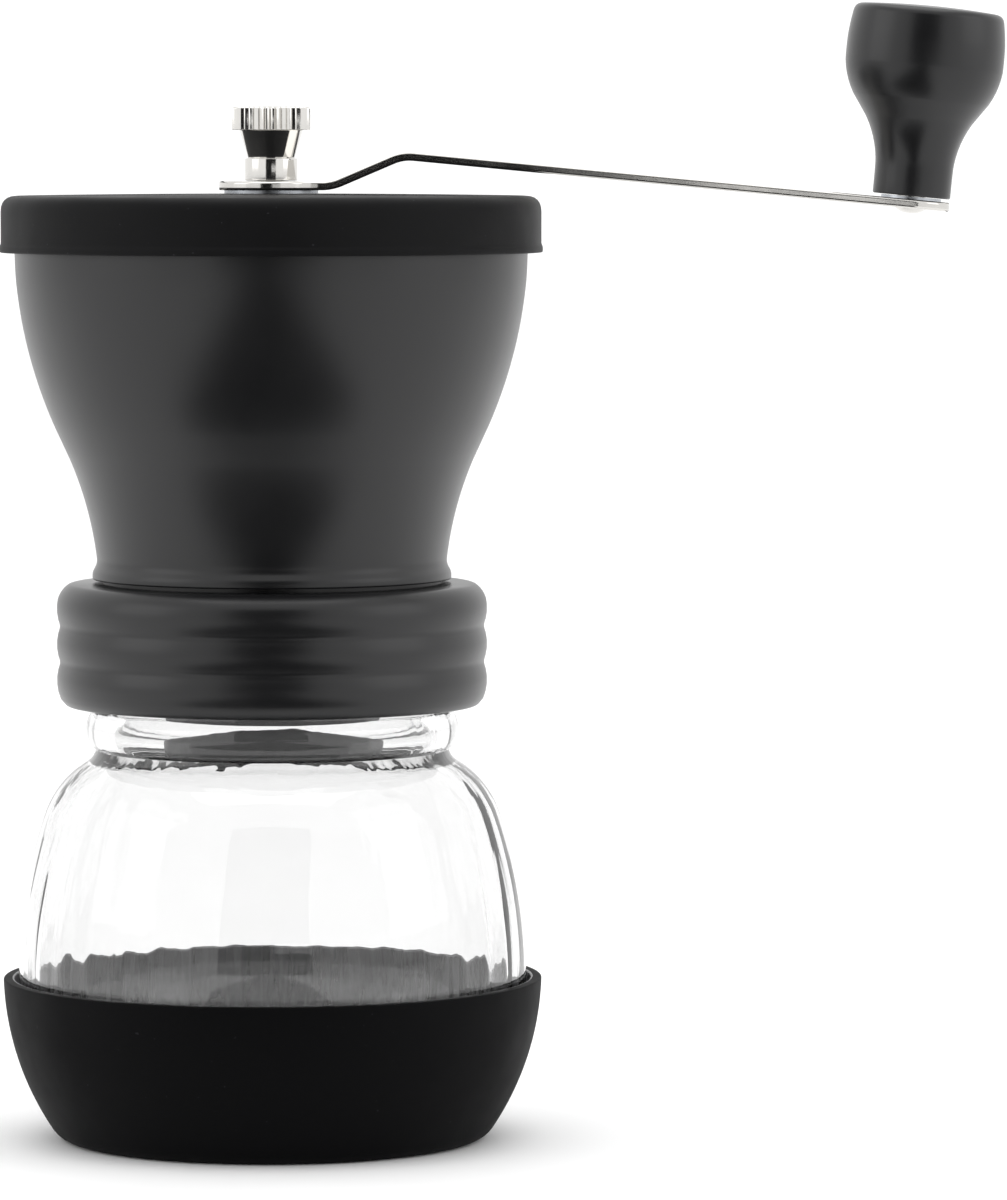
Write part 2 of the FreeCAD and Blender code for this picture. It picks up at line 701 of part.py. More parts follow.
def make_bridge():
    body = new_body("bearing_bridge")
    hub_low = ledge_top - size["bridge_hub_drop"]
    hub = new_sketch(body, "upper_hub_outline", "XY_Plane", hub_low)
    draw_circle(hub, 0, 0, size["hub_radius"])
    raise_pad(body, "upper_hub", hub, bridge_top - hub_low)
    arm = new_sketch(body, "bridge_arm_outline", "XY_Plane", ledge_top)
    half = size["bridge_arm_width"] / 2
    end = bridge_screw_circle + size["screw_radius"]
    draw_loop(arm, [(0, -half), (end, -half, size["screw_radius"] / 2), (end, half), (0, half)])
    arm_pad = raise_pad(body, "bridge_arm", arm, size["bridge_thickness"])
    repeat_round(body, "bridge_arms", arm_pad, arm, 3)
    bore = new_sketch(body, "upper_hub_bore_outline", "XY_Plane", hub_low)
    draw_circle(bore, 0, 0, size["bush_radius"])
    cut_pocket(body, "upper_hub_bore", bore, bridge_top - hub_low)
    drill_round(body, "bridge_screw_hole", bridge_screw_circle, ledge_top,
                size["screw_radius"] + size["running_gap"], size["bridge_thickness"])


def make_screws(label, circle, head_base, shank_tip):
    """Three pan-head screws; the head stands on head_base and the shank ends at shank_tip."""
    head_radius = size["screw_head_radius"].value
    head_height = size["screw_head_height"].value
    upright = head_base.value > shank_tip.value
    low = min(head_base.value, shank_tip.value)
    reach = abs(head_base.value - shank_tip.value)
    shank = Part.makeCylinder(size["screw_radius"].value, reach, Vector(0, 0, low))
    head_low = head_base.value if upright else head_base.value - head_height
    head = Part.makeCylinder(head_radius, head_height, Vector(0, 0, head_low))
    face = head_low + head_height if upright else head_low
    corner = [edge for edge in head.Edges if abs(edge.BoundBox.ZMax - face) < 1e-6 and edge.Closed]
    head = head.makeFillet(head_height / 3, corner)
    slot_low = face - head_height / 2 if upright else face
    slot_width = head_radius / 3
    slots = [
        Part.makeBox(head_radius, slot_width, head_height / 2,
                     Vector(-head_radius / 2, -slot_width / 2, slot_low)),
        Part.makeBox(slot_width, head_radius, head_height / 2,
                     Vector(-slot_width / 2, -head_radius / 2, slot_low)),
    ]
    screw = head.cut(slots).fuse(shank)
    screw.translate(Vector(circle.value, 0, 0))
    shaped_piece(label, Part.Compound(around(screw, 3)))


# Bushes, washers and the adjusting nut

def make_bush(label, low, high, flange_low, flange_high):
    """A plain bearing whose flange is at its low or its high end."""
    bore = size["shaft_radius"] + size["running_gap"]
    outside = size["bush_radius"]
    flange = size["bush_flange_radius"]
    if flange_low.value < low.value:
        corners = [(bore, flange_low), (flange, flange_low), (flange, flange_high), (outside, flange_high),
                   (outside, high), (bore, high)]
    else:
        corners = [(bore, low), (outside, low), (outside, flange_low), (flange, flange_low),
                   (flange, flange_high), (bore, flange_high)]
    turned_piece(label, corners)


def make_thrust_washer():
    body = turned_disc("thrust_washer", size["washer_radius"], washer_base, size["washer_thickness"])
    cut_flatted_hole(body, "thrust_washer_hole", size["shaft_radius"] + size["running_gap"],
                     size["shaft_flats"] + 2 * size["running_gap"], washer_base, size["washer_thickness"])


def turned_disc(label, radius, low, height):
    return turned_piece(label, [(0, low), (radius, low), (radius, low + height), (0, low + height)])


def cut_knurl(body, name, low, height, outside, depth, count):
    """V grooves all round a rim."""
    half_width = math.pi * outside.value / count * KNURL_SHARE
    sketch = new_sketch(body, f"{name}_outline", "XY_Plane", low)
    beyond = outside + depth
    draw_loop(sketch, [(outside - depth, 0), (beyond, -half_width * 2), (beyond, half_width * 2)])
    groove = cut_pocket(body, name, sketch, height)
    repeat_round(body, f"{name}_pattern", groove, sketch, count)


def make_adjust_nut():
    height = size["adjust_nut_height"]
    bore = size["shaft_radius"] + size["running_gap"]
    outside = size["adjust_nut_radius"]
    body = turned_piece("adjust_nut", [
        (bore, nut_base),
        (outside, nut_base),
        (outside, nut_base + height),
        (bore, nut_base + height),
    ])
    cut_knurl(body, "adjust_nut_knurl", nut_base, height, outside, size["knurl_depth"] * 2, ADJUST_KNURLS)


def make_lock_plate():
    thickness = size["lock_plate_thickness"]
    body = turned_disc("lock_plate", size["adjust_nut_radius"] - size["knurl_depth"] * 4, plate_base, thickness)
    tab = new_sketch(body, "lock_tab_outline", "XY_Plane", plate_base)
    half = size["screw_radius"]
    end = size["lock_plate_radius"] - half / 2
    draw_loop(tab, [(half, -half), (end, -half, half / 2), (end, half), (half, half)])
    tab_pad = raise_pad(body, "lock_tab", tab, thickness)
    repeat_round(body, "lock_tabs", tab_pad, tab, 3)
    cut_flatted_hole(body, "lock_plate_hole", size["shaft_radius"] + size["running_gap"],
                     size["shaft_flats"] + 2 * size["running_gap"], plate_base, thickness)


# Shaft: journal, two steps of flats, stud for the thumb nut, groove for the clip

def shaft_foot():
    return cone_base - 2 * size["clip_thickness"]


def stud_top():
    return arm_top + size["nut_height"] - size["washer_thickness"] * 3


def make_shaft():
    radius = size["shaft_radius"].value
    foot = shaft_foot().value
    flats_low = (washer_base - size["adjust_travel"] - 2 * size["seat_gap"]).value
    shoulder = arm_washer_base.value
    seat_top = arm_top.value + size["seat_gap"].value / 2
    clip = size["clip_thickness"].value
    clip_low = cone_base.value - clip
    drive_flats = flatted_prism(radius, size["shaft_flats"].value, foot, spring_base.value - foot)
    journal = Part.makeCylinder(radius, flats_low - spring_base.value, Vector(0, 0, spring_base.value))
    lower = flatted_prism(radius, size["shaft_flats"].value, flats_low, shoulder - flats_low)
    upper = flatted_prism(radius, size["shaft_top_flats"].value, shoulder, seat_top - shoulder)
    stud = flatted_prism(size["stud_radius"].value, size["shaft_top_flats"].value, seat_top,
                         stud_top().value - seat_top)
    end = [edge for edge in stud.Edges if abs(edge.BoundBox.ZMin - stud_top().value) < 1e-6]
    stud = stud.makeChamfer(size["knurl_depth"].value, end)
    groove = Part.makeCylinder(2 * radius, clip, Vector(0, 0, clip_low))
    groove = groove.cut(Part.makeCylinder(clip_groove_radius(), clip, Vector(0, 0, clip_low)))
    bar = drive_flats.fuse([journal, lower, upper, stud]).cut(groove)
    shaped_piece("drive_shaft", bar.removeSplitter())


def clip_groove_radius():
    return size["shaft_flats"].value / 2 - size["knurl_depth"].value


def make_shaft_clip():
    """Retaining ring, open on one side, that sits in the shaft's groove."""
    thickness = size["clip_thickness"].value
    low = cone_base.value - thickness
    inside = clip_groove_radius() + size["running_gap"].value
    ring = Part.makeCylinder(size["clip_radius"].value, thickness, Vector(0, 0, low))
    hole = Part.makeCylinder(inside, thickness, Vector(0, 0, low))
    half_mouth = inside * MOUTH_SHARE
    mouth = Part.makeBox(size["clip_radius"].value, 2 * half_mouth, thickness, Vector(0, -half_mouth, low))
    shaped_piece("shaft_clip", ring.cut([hole, mouth]))


# Burrs: a ceramic cone in a ceramic ring, both toothed, in a plastic cup

def cone_slope():
    return (size["cone_foot_radius"] - size["cone_top_radius"]) / size["cone_height"]


def make_burr_carrier():
    outside = carrier_radius
    wall = size["carrier_wall"]
    flange = carrier_flange_radius
    flange_low = collar_ceiling - size["carrier_flange"]
    seat = carrier_base + size["carrier_lip"]
    lip = outside - wall - size["carrier_lip"] / 2
    body = turned_piece("burr_carrier", [
        (lip, carrier_base),
        (outside, carrier_base),
        (outside, flange_low),
        (flange, flange_low),
        (flange, collar_ceiling),
        (outside - wall, collar_ceiling),
        (outside - wall, seat),
        (lip, seat),
    ])
    round_edges(body, "carrier_rounding", [(outside, carrier_base)], wall / 2)
    drill_round(body, "carrier_screw_hole", head_screw_circle, flange_low,
                size["screw_radius"] + size["running_gap"], size["carrier_flange"])


def tooth_tool(low, high, low_radius, high_radius, depth, share_of_turn, twist):
    """A wedge that cuts one V groove between two heights of a cone, into a bore if depth is negative."""
    steps = 1 + round(abs(twist) / 10)
    sections = []
    for step in range(steps + 1):
        share = step / steps
        height = low + (high - low) * share
        radius = low_radius + (high_radius - low_radius) * share
        half = math.pi * radius * share_of_turn * TOOTH_SHARE
        open_side = radius + depth / 2
        corners = [
            Vector(open_side, -half, height),
            Vector(open_side, half, height),
            Vector(radius - depth, 0, height),
        ]
        wire = Part.makePolygon(corners + [corners[0]])
        wire.rotate(Vector(0, 0, 0), UP, twist * share)
        sections.append(wire)
    return Part.makeLoft(sections, True, True)


def make_outer_burr():
    base = (carrier_base + size["carrier_lip"]).value
    height = size["burr_height"].value
    throat = size["burr_throat_height"].value
    outside = (carrier_bore - size["running_gap"]).value
    rise = base - cone_base.value
    foot = size["cone_foot_radius"].value - cone_slope().value * rise + size["burr_gap"].value
    waist = foot - cone_slope().value * throat
    mouth = foot - cone_slope().value * size["tooth_depth"].value
    corners = [Vector(foot, 0, base), Vector(outside, 0, base), Vector(outside, 0, base + height),
               Vector(mouth, 0, base + height), Vector(waist, 0, base + throat)]
    ring = Part.Face(Part.makePolygon(corners + [corners[0]])).revolve(Vector(0, 0, 0), UP, 360)
    over = size["tooth_depth"].value
    tooth = tooth_tool(base - over, base + throat, foot + cone_slope().value * over, waist, -over,
                       1 / OUTER_TEETH, OUTER_TEETH_TURN)
    feed = tooth_tool(base + throat, base + height + over, waist, mouth + over, -2 * over,
                      OUTER_FEED_SHARE / OUTER_FEEDS, OUTER_FEEDS_TURN)
    shaped_piece("outer_burr", ring.cut(around(tooth, OUTER_TEETH) + around(feed, OUTER_FEEDS)))


def make_inner_burr():
    base = cone_base.value
    height = size["cone_height"].value
    foot = size["cone_foot_radius"].value
    top = size["cone_top_radius"].value
    depth = size["tooth_depth"].value
    bore = (size["core_radius"] + size["running_gap"]).value
    cone = Part.makeCone(foot, top, height, Vector(0, 0, base))
    hole = Part.makeCylinder(bore, height, Vector(0, 0, base))
    middle = base + height / 2
    middle_radius = (foot + top) / 2
    slope = cone_slope().value
    tooth = tooth_tool(base - depth, middle, foot + slope * depth, middle_radius, depth,
                       1 / INNER_TEETH, INNER_TEETH_TURN)
    feed = tooth_tool(middle - depth, base + height + depth, middle_radius + slope * depth,
                      top - slope * depth, 2 * depth, INNER_FEED_SHARE / INNER_FEEDS, INNER_FEEDS_TURN)
    shaped_piece("inner_burr", cone.cut([hole] + around(tooth, INNER_TEETH) + around(feed, INNER_FEEDS)))


def make_burr_core():
    body = turned_disc("burr_core", size["core_radius"], cone_base, size["cone_height"])
    cut_flatted_hole(body, "burr_core_hole", size["shaft_radius"] + size["running_gap"],
                     size["shaft_flats"] + 2 * size["running_gap"], cone_base, size["cone_height"])


def make_spring_washer():
    outside = size["spring_radius"] + size["spring_wire"] * 2
    inside = size["shaft_radius"] + size["running_gap"]
    turned_piece("spring_washer", [
        (inside, cone_top),
        (outside, cone_top),
        (outside, spring_base),
        (inside, spring_base),
    ])


def make_burr_spring():
    wire = size["spring_wire"].value / 2
    play = size["seat_gap"].value
    low = spring_base.value + wire + play
    length = spring_top.value - spring_base.value - 2 * (wire + play)
    turns = 3
    helix = Part.makeHelix(length / turns, length, size["spring_radius"].value)
    circle = Part.Circle(Vector(size["spring_radius"].value, 0, 0), Vector(0, 1, 0), wire)
    profile = Part.Wire(circle.toShape())
    coil = Part.Wire(helix).makePipeShell([profile], True, True)
    shaped_piece("burr_spring", coil, low)


# Silicone lid: flat top, skirt over the hopper's rim, ring that enters the hopper

def make_lid():
    outside = lid_radius
    wall = size["lid_wall"]
    bead = size["lid_bead"]
    skirt_low = lid_ceiling - size["lid_skirt"]
    edge_height = lid_top - size["lid_crown"]
    hole = size["shaft_radius"] + size["fit_gap"]
    plug = size["hopper_rim_radius"] - size["hopper_wall"] - size["fit_gap"]
    plug_low = lid_ceiling - size["lid_plug_depth"]
    body = turned_piece("lid", [
        (hole, lid_ceiling),
        (plug - size["lid_plug_wall"], lid_ceiling),
        (plug - size["lid_plug_wall"], plug_low),
        (plug, plug_low),
        (plug, lid_ceiling),
        (outside - wall, lid_ceiling),
        (outside - wall, skirt_low),
        (outside + bead, skirt_low),
        (outside + bead, skirt_low + 4 * bead),
        (outside, skirt_low + 6 * bead),
        (outside, edge_height, crown_bulge(outside, size["lid_crown"])),
        (hole, lid_top),
    ])
    round_edges(body, "lid_rounding_edge", [(outside, edge_height)], size["lid_rounding"])


# Crank arm: bent steel strip, washer, knob on its pin, thumb nut

def arm_fall():
    return tangent(size["arm_slope"])


def knob_seat_height():
    """Top of the arm on the knob's axis."""
    run = size["knob_distance"] - size["second_bend"]
    half = size["arm_thickness"] / 2
    return arm_base + half + size["arm_rise"] - run * arm_fall() + half / cosine(size["arm_slope"])


def strip_side(places, bend, offset):
    """Points and arcs of one side of a bent strip, offset from its middle line."""
    sides = []
    for start, end in zip(places, places[1:]):
        along = (end - start).normalize()
        normal = Vector(-along.z, 0, along.x)
        sides.append((along, normal))
    pieces = [places[0] + sides[0][1] * offset]
    for place, (before, left), (after, right) in zip(places[1:-1], sides, sides[1:]):
        turn = before.getAngle(after)
        reach = bend * math.tan(turn / 2)
        left_turn = before.x * after.z - before.z * after.x
        centre = place - before * reach + left * math.copysign(bend, left_turn)
        halfway = (left + right).normalize() * -math.copysign(1, left_turn)
        radius = bend - offset if left_turn > 0 else bend + offset
        start = place - before * reach + left * offset
        end = place + after * reach + right * offset
        pieces.append(Part.Arc(start, centre + halfway * radius, end))
    pieces.append(places[-1] + sides[-1][1] * offset)
    return pieces


def side_edges(pieces):
    """Lines and arcs that join the pieces of one side."""
    edges = []
    place = pieces[0]
    for arc in pieces[1:-1]:
        edges.append(Part.makeLine(place, arc.StartPoint))
        edges.append(arc.toShape())
        place = arc.EndPoint
    edges.append(Part.makeLine(place, pieces[-1]))
    return edges


def make_crank_arm():
    thickness = size["arm_thickness"].value
    half_width = size["arm_width"].value / 2
    hub = size["arm_hub_radius"].value
    bend = size["bend_radius"].value
    distance = size["knob_distance"].value
    middle = arm_base.value + thickness / 2
    fall = arm_fall().value
    upper = middle + size["arm_rise"].value
    tip = distance + hub
    places = [
        Vector(-hub, 0, middle),
        Vector(size["first_bend"].value, 0, middle),
        Vector(size["second_bend"].value, 0, upper),
        Vector(tip, 0, upper - (tip - size["second_bend"].value) * fall),
    ]
    top = strip_side(places, bend, thickness / 2)
    bottom = strip_side(places, bend, -thickness / 2)
    edges = side_edges(top) + [Part.makeLine(top[-1], bottom[-1])] + side_edges(bottom)
    edges.append(Part.makeLine(bottom[0], top[0]))
    section = Part.Face(Part.Wire(Part.__sortEdges__(edges)))
    section.translate(Vector(0, -hub, 0))
    strip = section.extrude(Vector(0, 2 * hub, 0))
    depth = strip.BoundBox.ZLength + 2 * thickness
    low = strip.BoundBox.ZMin - thickness
    blank = Part.makeCylinder(hub, depth, Vector(0, 0, low))
    blank = blank.fuse(Part.makeBox(distance, 2 * half_width, depth, Vector(0, -half_width, low)))
    blank = blank.fuse(Part.makeCylinder(half_width, depth, Vector(distance, 0, low)))
    arm = strip.common(blank.removeSplitter())
    corners = [edge for edge in arm.Edges if is_neck_corner(edge, hub, half_width)]
    arm = arm.makeFillet(half_width, corners)
    hole = flatted_prism((size["shaft_radius"] + size["running_gap"]).value,
                         (size["shaft_top_flats"] + 2 * size["running_gap"]).value, arm_base.value, thickness)
    pin = Part.makeCylinder((size["pin_neck_radius"] + size["running_gap"]).value, 4 * thickness,
                            Vector(0, 0, -3 * thickness))
    pin.Placement = knob_placement()
    shaped_piece("crank_arm", arm.cut([hole, pin]))


def is_neck_corner(edge, hub, half_width):
    """An edge through the sheet where the round hub meets the strip."""
    box = edge.BoundBox
    meets_at = math.sqrt(hub ** 2 - half_width ** 2)
    upright = box.ZLength > 0.5 and box.XLength < 0.01
    return upright and abs(box.XMin - meets_at) < 0.01 and abs(abs(box.YMin) - half_width) < 0.01


def knob_placement():
    """The knob's own frame: origin on top of the arm, Z along the pin."""
    seat = Vector(size["knob_distance"].value, 0, knob_seat_height().value)
    return FreeCAD.Placement(seat, FreeCAD.Rotation(Vector(0, 1, 0), size["arm_slope"].value))


def seat_on_arm(body):
    """Puts a piece that is modelled upright on the sloping arm."""
    body.Placement = knob_placement()
    bind(body, "Placement.Base.x", size["knob_distance"])
    bind(body, "Placement.Base.z", knob_seat_height())
    bind(body, "Placement.Rotation.Angle", size["arm_slope"])


def make_knob_washer():
    inside = size["pin_radius"] + size["running_gap"]
    top = size["knob_washer_thickness"]
    outside = size["knob_washer_radius"]
    body = turned_piece("knob_washer", [(inside, 0), (outside, 0), (outside, top), (inside, top)])
    seat_on_arm(body)


def make_knob_pin():
    """Rivet end under the arm, neck through it, shank and head inside the knob."""
    under = -size["arm_thickness"]
    rivet = size["rivet_radius"]
    neck = size["pin_neck_radius"]
    shank = size["pin_radius"]
    head = size["pin_head_radius"]
    length = size["pin_length"]
    head_top = length + size["pin_head_height"]
    low = under - size["rivet_height"]
    body = turned_piece("knob_pin", [
        (0, low, size["rivet_height"] / 3),
        (rivet, under),
        (neck, under),
        (neck, 0),
        (shank, 0),
        (shank, length),
        (head, length),
        (shank, head_top),
        (0, head_top),
    ])
    seat_on_arm(body)


def make_knob():
    """Trumpet-shaped moulding, hollow along the pin."""
    base = size["knob_washer_thickness"] + size["seat_gap"]
    bore = size["pin_radius"] + size["running_gap"]
    chamber = size["pin_head_radius"] + size["fit_gap"]
    chamber_low = size["pin_length"] - size["fit_gap"]
    chamber_top = size["pin_length"] + size["pin_head_height"] + size["fit_gap"]
    stem = size["knob_stem_radius"]
    edge_height = base + size["knob_height"]
    body = turned_piece("knob", [
        (bore, base),
        (stem, base),
        (stem, base + size["knob_stem_height"], -size["knob_waist_bulge"]),
        (size["knob_turn_radius"], base + size["knob_turn_height"], size["knob_flare_bulge"]),
        (size["knob_wide_radius"], base + size["knob_wide_height"], size["knob_crown"] / 3),
        (size["knob_top_radius"], edge_height, crown_bulge(size["knob_top_radius"], size["knob_crown"])),
        (0, edge_height + size["knob_crown"]),
        (0, chamber_top),
        (chamber, chamber_top),
        (chamber, chamber_low),
        (bore, chamber_low),
    ])
    round_edges(body, "knob_rounding_edge", [(size["knob_top_radius"], edge_height)], size["knob_rounding"])
    seat_on_arm(body)


def make_arm_washer():
    inside = size["shaft_radius"] + size["running_gap"]
    outside = size["arm_washer_radius"]
    turned_piece("arm_washer", [
        (inside, arm_washer_base),
        (outside, arm_washer_base),
        (outside, arm_base),
        (inside, arm_base),
    ])


def make_thumb_nut():
    base = arm_top + size["seat_gap"]
    head_low = arm_top + size["nut_cone_height"]
    top = arm_top + size["nut_height"]
    bore = size["stud_radius"] + size["running_gap"]
    bore_top = stud_top() + size["fit_gap"]
    body = turned_piece("thumb_nut", [
        (bore, base),
        (size["nut_stem_radius"], base),
        (size["nut_stem_radius"], arm_top + size["nut_stem_height"]),
        (size["nut_cone_radius"], head_low),
        (size["nut_head_radius"], head_low),
        (size["nut_head_radius"], top, crown_bulge(size["nut_head_radius"], size["nut_crown"])),
        (0, top + size["nut_crown"]),
        (0, bore_top),
        (bore, bore_top),
    ])
    round_edges(body, "nut_rounding_edge", [(size["nut_head_radius"], top)], size["nut_rounding"])
    cut_knurl(body, "nut_knurl", head_low, top + size["nut_crown"] - head_low,
              size["nut_head_radius"], size["knurl_depth"], NUT_KNURLS)


# Build in the order of assembly, check, and write

def build():
    make_boot()
    make_jar()
    make_jar_seal()
    make_collar()
    make_hopper()
    make_screws("head_screws", head_screw_circle, collar_ceiling - size["carrier_flange"],
                collar_ceiling - size["carrier_flange"] + size["head_screw_length"])
    make_burr_carrier()
    make_outer_burr()
    make_bush("lower_bush", hub_bottom, hub_top, spring_top, hub_bottom)
    make_bridge()
    make_screws("bridge_screws", bridge_screw_circle, bridge_top, bridge_top - size["bridge_screw_length"])
    make_bush("upper_bush", ledge_top - size["bridge_hub_drop"], bridge_top, bridge_top,
              bridge_top + size["bush_flange"])
    make_shaft()
    make_shaft_clip()
    make_inner_burr()
    make_burr_core()
    make_spring_washer()
    make_burr_spring()
    make_thrust_washer()
    make_adjust_nut()
    make_lock_plate()
    make_lid()
    make_arm_washer()
    make_crank_arm()
    make_knob_pin()
    make_knob_washer()
    make_knob()
    make_thumb_nut()


def check_document():
    """Stops on any failed feature and on any sub-part without a sound solid."""
    doc.recompute()
    for item in doc.Objects:
        if {"Invalid", "Error"} & set(item.State):
            raise RuntimeError(f"{item.Label} failed: {item.State}")
    for label, item in nodes.items():
        shape = item.Shape
        if shape.isNull() or not shape.isValid() or shape.Volume <= 0:
            raise RuntimeError(f"{label} has no sound solid")
        box = shape.optimalBoundingBox(False)
        print(f"{label:16s} solids {len(shape.Solids)} volume {shape.Volume:9.1f}"
              f" x {box.XMin:7.2f} {box.XMax:7.2f} z {box.ZMin:7.2f} {box.ZMax:7.2f}")


def write_parts():
    os.makedirs("parts", exist_ok=True)
    for label, item in nodes.items():
        item.Shape.exportStep(os.path.join("parts", f"{label}.step"))


build()
check_document()
write_parts()
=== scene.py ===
import bpy
import bmesh
import math
from mathutils import Euler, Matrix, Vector


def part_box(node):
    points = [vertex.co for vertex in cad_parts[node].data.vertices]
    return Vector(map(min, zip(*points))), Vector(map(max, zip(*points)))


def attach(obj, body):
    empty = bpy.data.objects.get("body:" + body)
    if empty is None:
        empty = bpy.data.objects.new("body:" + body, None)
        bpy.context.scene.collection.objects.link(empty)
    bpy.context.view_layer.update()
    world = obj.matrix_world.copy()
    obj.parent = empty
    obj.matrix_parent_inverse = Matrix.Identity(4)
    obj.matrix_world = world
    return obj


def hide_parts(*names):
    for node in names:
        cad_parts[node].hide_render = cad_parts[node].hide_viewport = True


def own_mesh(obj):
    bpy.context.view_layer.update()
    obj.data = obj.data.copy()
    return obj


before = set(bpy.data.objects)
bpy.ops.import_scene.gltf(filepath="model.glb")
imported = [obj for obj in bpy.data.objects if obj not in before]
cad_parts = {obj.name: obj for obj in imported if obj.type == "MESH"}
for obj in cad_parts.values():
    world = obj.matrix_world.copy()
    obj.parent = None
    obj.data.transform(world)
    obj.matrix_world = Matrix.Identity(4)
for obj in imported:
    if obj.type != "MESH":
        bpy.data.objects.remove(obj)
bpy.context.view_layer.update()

# Soft boot
# A cup of black silicone rubber, pressed in a mould and left matt by its sparked surface.
# It is stretched over the foot of the jar and holds by its own grip.

MM = 0.001
SEGMENTS = 160
SMOOTH_ANGLE = math.radians(32)


def box_mm(node):
    """The lowest and highest corner of a frame node, in millimetres."""
    return [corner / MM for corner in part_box(node)]


def way(start, end, bulge):
    """Points from start to end on an arc that stands off to the right of the way it runs."""
    if not bulge:
        return [start, end]
    chord = end - start
    along = chord.normalized()
    aside = Vector((along.y, -along.x)) * math.copysign(1, bulge)
    rise = abs(bulge)
    radius = (chord.length ** 2 / 4 + rise ** 2) / (2 * rise)
    half = math.asin(min(1, chord.length / 2 / radius))
    centre = (start + end) / 2 - aside * (radius - rise)
    pieces = max(5, math.ceil(2 * half * radius / 1.3))
    angles = [half * (2 * i / pieces - 1) for i in range(pieces + 1)]
    return [centre + (aside * math.cos(a) + along * math.sin(a)) * radius for a in angles]


def cut_back(run, reach):
    """The run without its last stretch."""
    run = list(run)
    while len(run) > 2 and (run[-1] - run[-2]).length <= reach:
        reach -= (run[-1] - run[-2]).length
        run.pop()
    run[-1] = run[-1] - (run[-1] - run[-2]).normalized() * reach
    return run


def outline(steps):
    """Points of an outline in the XZ plane. A step in millimetres is (across, up, bulge, softening):
    bulge bends the way to it, and softening is how far its rounding reaches along both sides."""
    full = [tuple(step) + (0,) * (4 - len(step)) for step in steps]
    corners = [Vector(step[:2]) for step in full]
    runs = [way(a, b, step[2]) for a, b, step in zip(corners, corners[1:], full[1:])]
    for i, step in enumerate(full[1:-1]):
        if step[3]:
            corner = corners[i + 1]
            runs[i] = cut_back(runs[i], step[3])
            runs[i + 1] = cut_back(runs[i + 1][::-1], step[3])[::-1]
            start = runs[i][-1]
            end = runs[i + 1][0]
            for share in (1 / 6, 2 / 6, 3 / 6, 4 / 6, 5 / 6):
                first = start.lerp(corner, share)
                runs[i].append(first.lerp(corner.lerp(end, share), share))
    points = [Vector((p.x, 0, p.y)) * MM for run in runs for p in run]
    return points[:1] + [b for a, b in zip(points, points[1:]) if (b - a).length > 1e-6]


def start_wire(name, points):
    """A new piece, left in edit mode, whose mesh is one vertex extruded from point to point."""
    bpy.ops.object.select_all(action="DESELECT")
    bpy.ops.mesh.primitive_plane_add(size=MM, location=(0, 0, 0))
    piece = bpy.context.object
    piece.name = name
    piece.data.name = name
    bpy.ops.object.mode_set(mode="EDIT")
    bpy.ops.mesh.merge(type="CENTER")
    bpy.ops.transform.translate(value=points[0])
    for before, after in zip(points, points[1:]):
        bpy.ops.mesh.extrude_vertices_move(TRANSFORM_OT_translate={"value": after - before})
    return piece


def close_mesh(piece):
    """Ends edit mode with doubles merged, faces outwards and smooth where the shape is smooth."""
    bpy.ops.mesh.select_all(action="SELECT")
    bpy.ops.mesh.remove_doubles(threshold=2e-6)
    bpy.ops.mesh.normals_make_consistent(inside=False)
    bpy.ops.object.mode_set(mode="OBJECT")
    bpy.ops.object.shade_smooth_by_angle(angle=SMOOTH_ANGLE)
    return piece


def turned(name, steps, segments=SEGMENTS):
    """A piece spun round the Z axis from an outline."""
    piece = start_wire(name, outline(steps))
    bpy.ops.mesh.select_all(action="SELECT")
    bpy.ops.mesh.spin(steps=segments, angle=math.tau, center=(0, 0, 0), axis=(0, 0, 1))
    return close_mesh(piece)


def srgb(colour):
    """Linear values and full alpha from a hex colour."""
    parts = [int(colour[i:i + 2], 16) / 255 for i in (0, 2, 4)]
    return [p / 12.92 if p <= 0.04045 else ((p + 0.055) / 1.055) ** 2.4 for p in parts] + [1]


def add_node(material, kind, values, **settings):
    """One node with its settings. A value is a number, a colour or another node's output."""
    tree = material.node_tree
    made = tree.nodes.new(kind)
    for key, value in settings.items():
        setattr(made, key, value)
    for socket, value in values.items():
        if isinstance(value, bpy.types.NodeSocket):
            tree.links.new(value, made.inputs[socket])
        else:
            made.inputs[socket].default_value = value
    return made


def new_material(name, values):
    """A named material whose constants stand on the shader's own sockets."""
    material = bpy.data.materials.new(name)
    material.use_nodes = True
    shader = material.node_tree.nodes["Principled BSDF"]
    for socket, value in values.items():
        shader.inputs[socket].default_value = value
    return material, shader


def finish(material, shader, clouds, shades, roughness, height, depth_mm, gloss_span=(0.3, 0.7)):
    """Joins a shader to clouds, which mix two shades and shift the roughness, and to a fine relief."""
    colour = add_node(material, "ShaderNodeMix",
                      {"Factor": clouds, 6: srgb(shades[0]), 7: srgb(shades[1])}, data_type="RGBA")
    gloss = add_node(material, "ShaderNodeMapRange",
                     {"Value": clouds, "From Min": gloss_span[0], "From Max": gloss_span[1],
                      "To Min": roughness[0], "To Max": roughness[1]})
    relief = add_node(material, "ShaderNodeBump",
                      {"Height": height, "Distance": depth_mm * MM, "Strength": 1})
    links = material.node_tree.links
    links.new(colour.outputs[2], shader.inputs["Base Color"])
    links.new(gloss.outputs["Result"], shader.inputs["Roughness"])
    links.new(relief.outputs["Normal"], shader.inputs["Normal"])


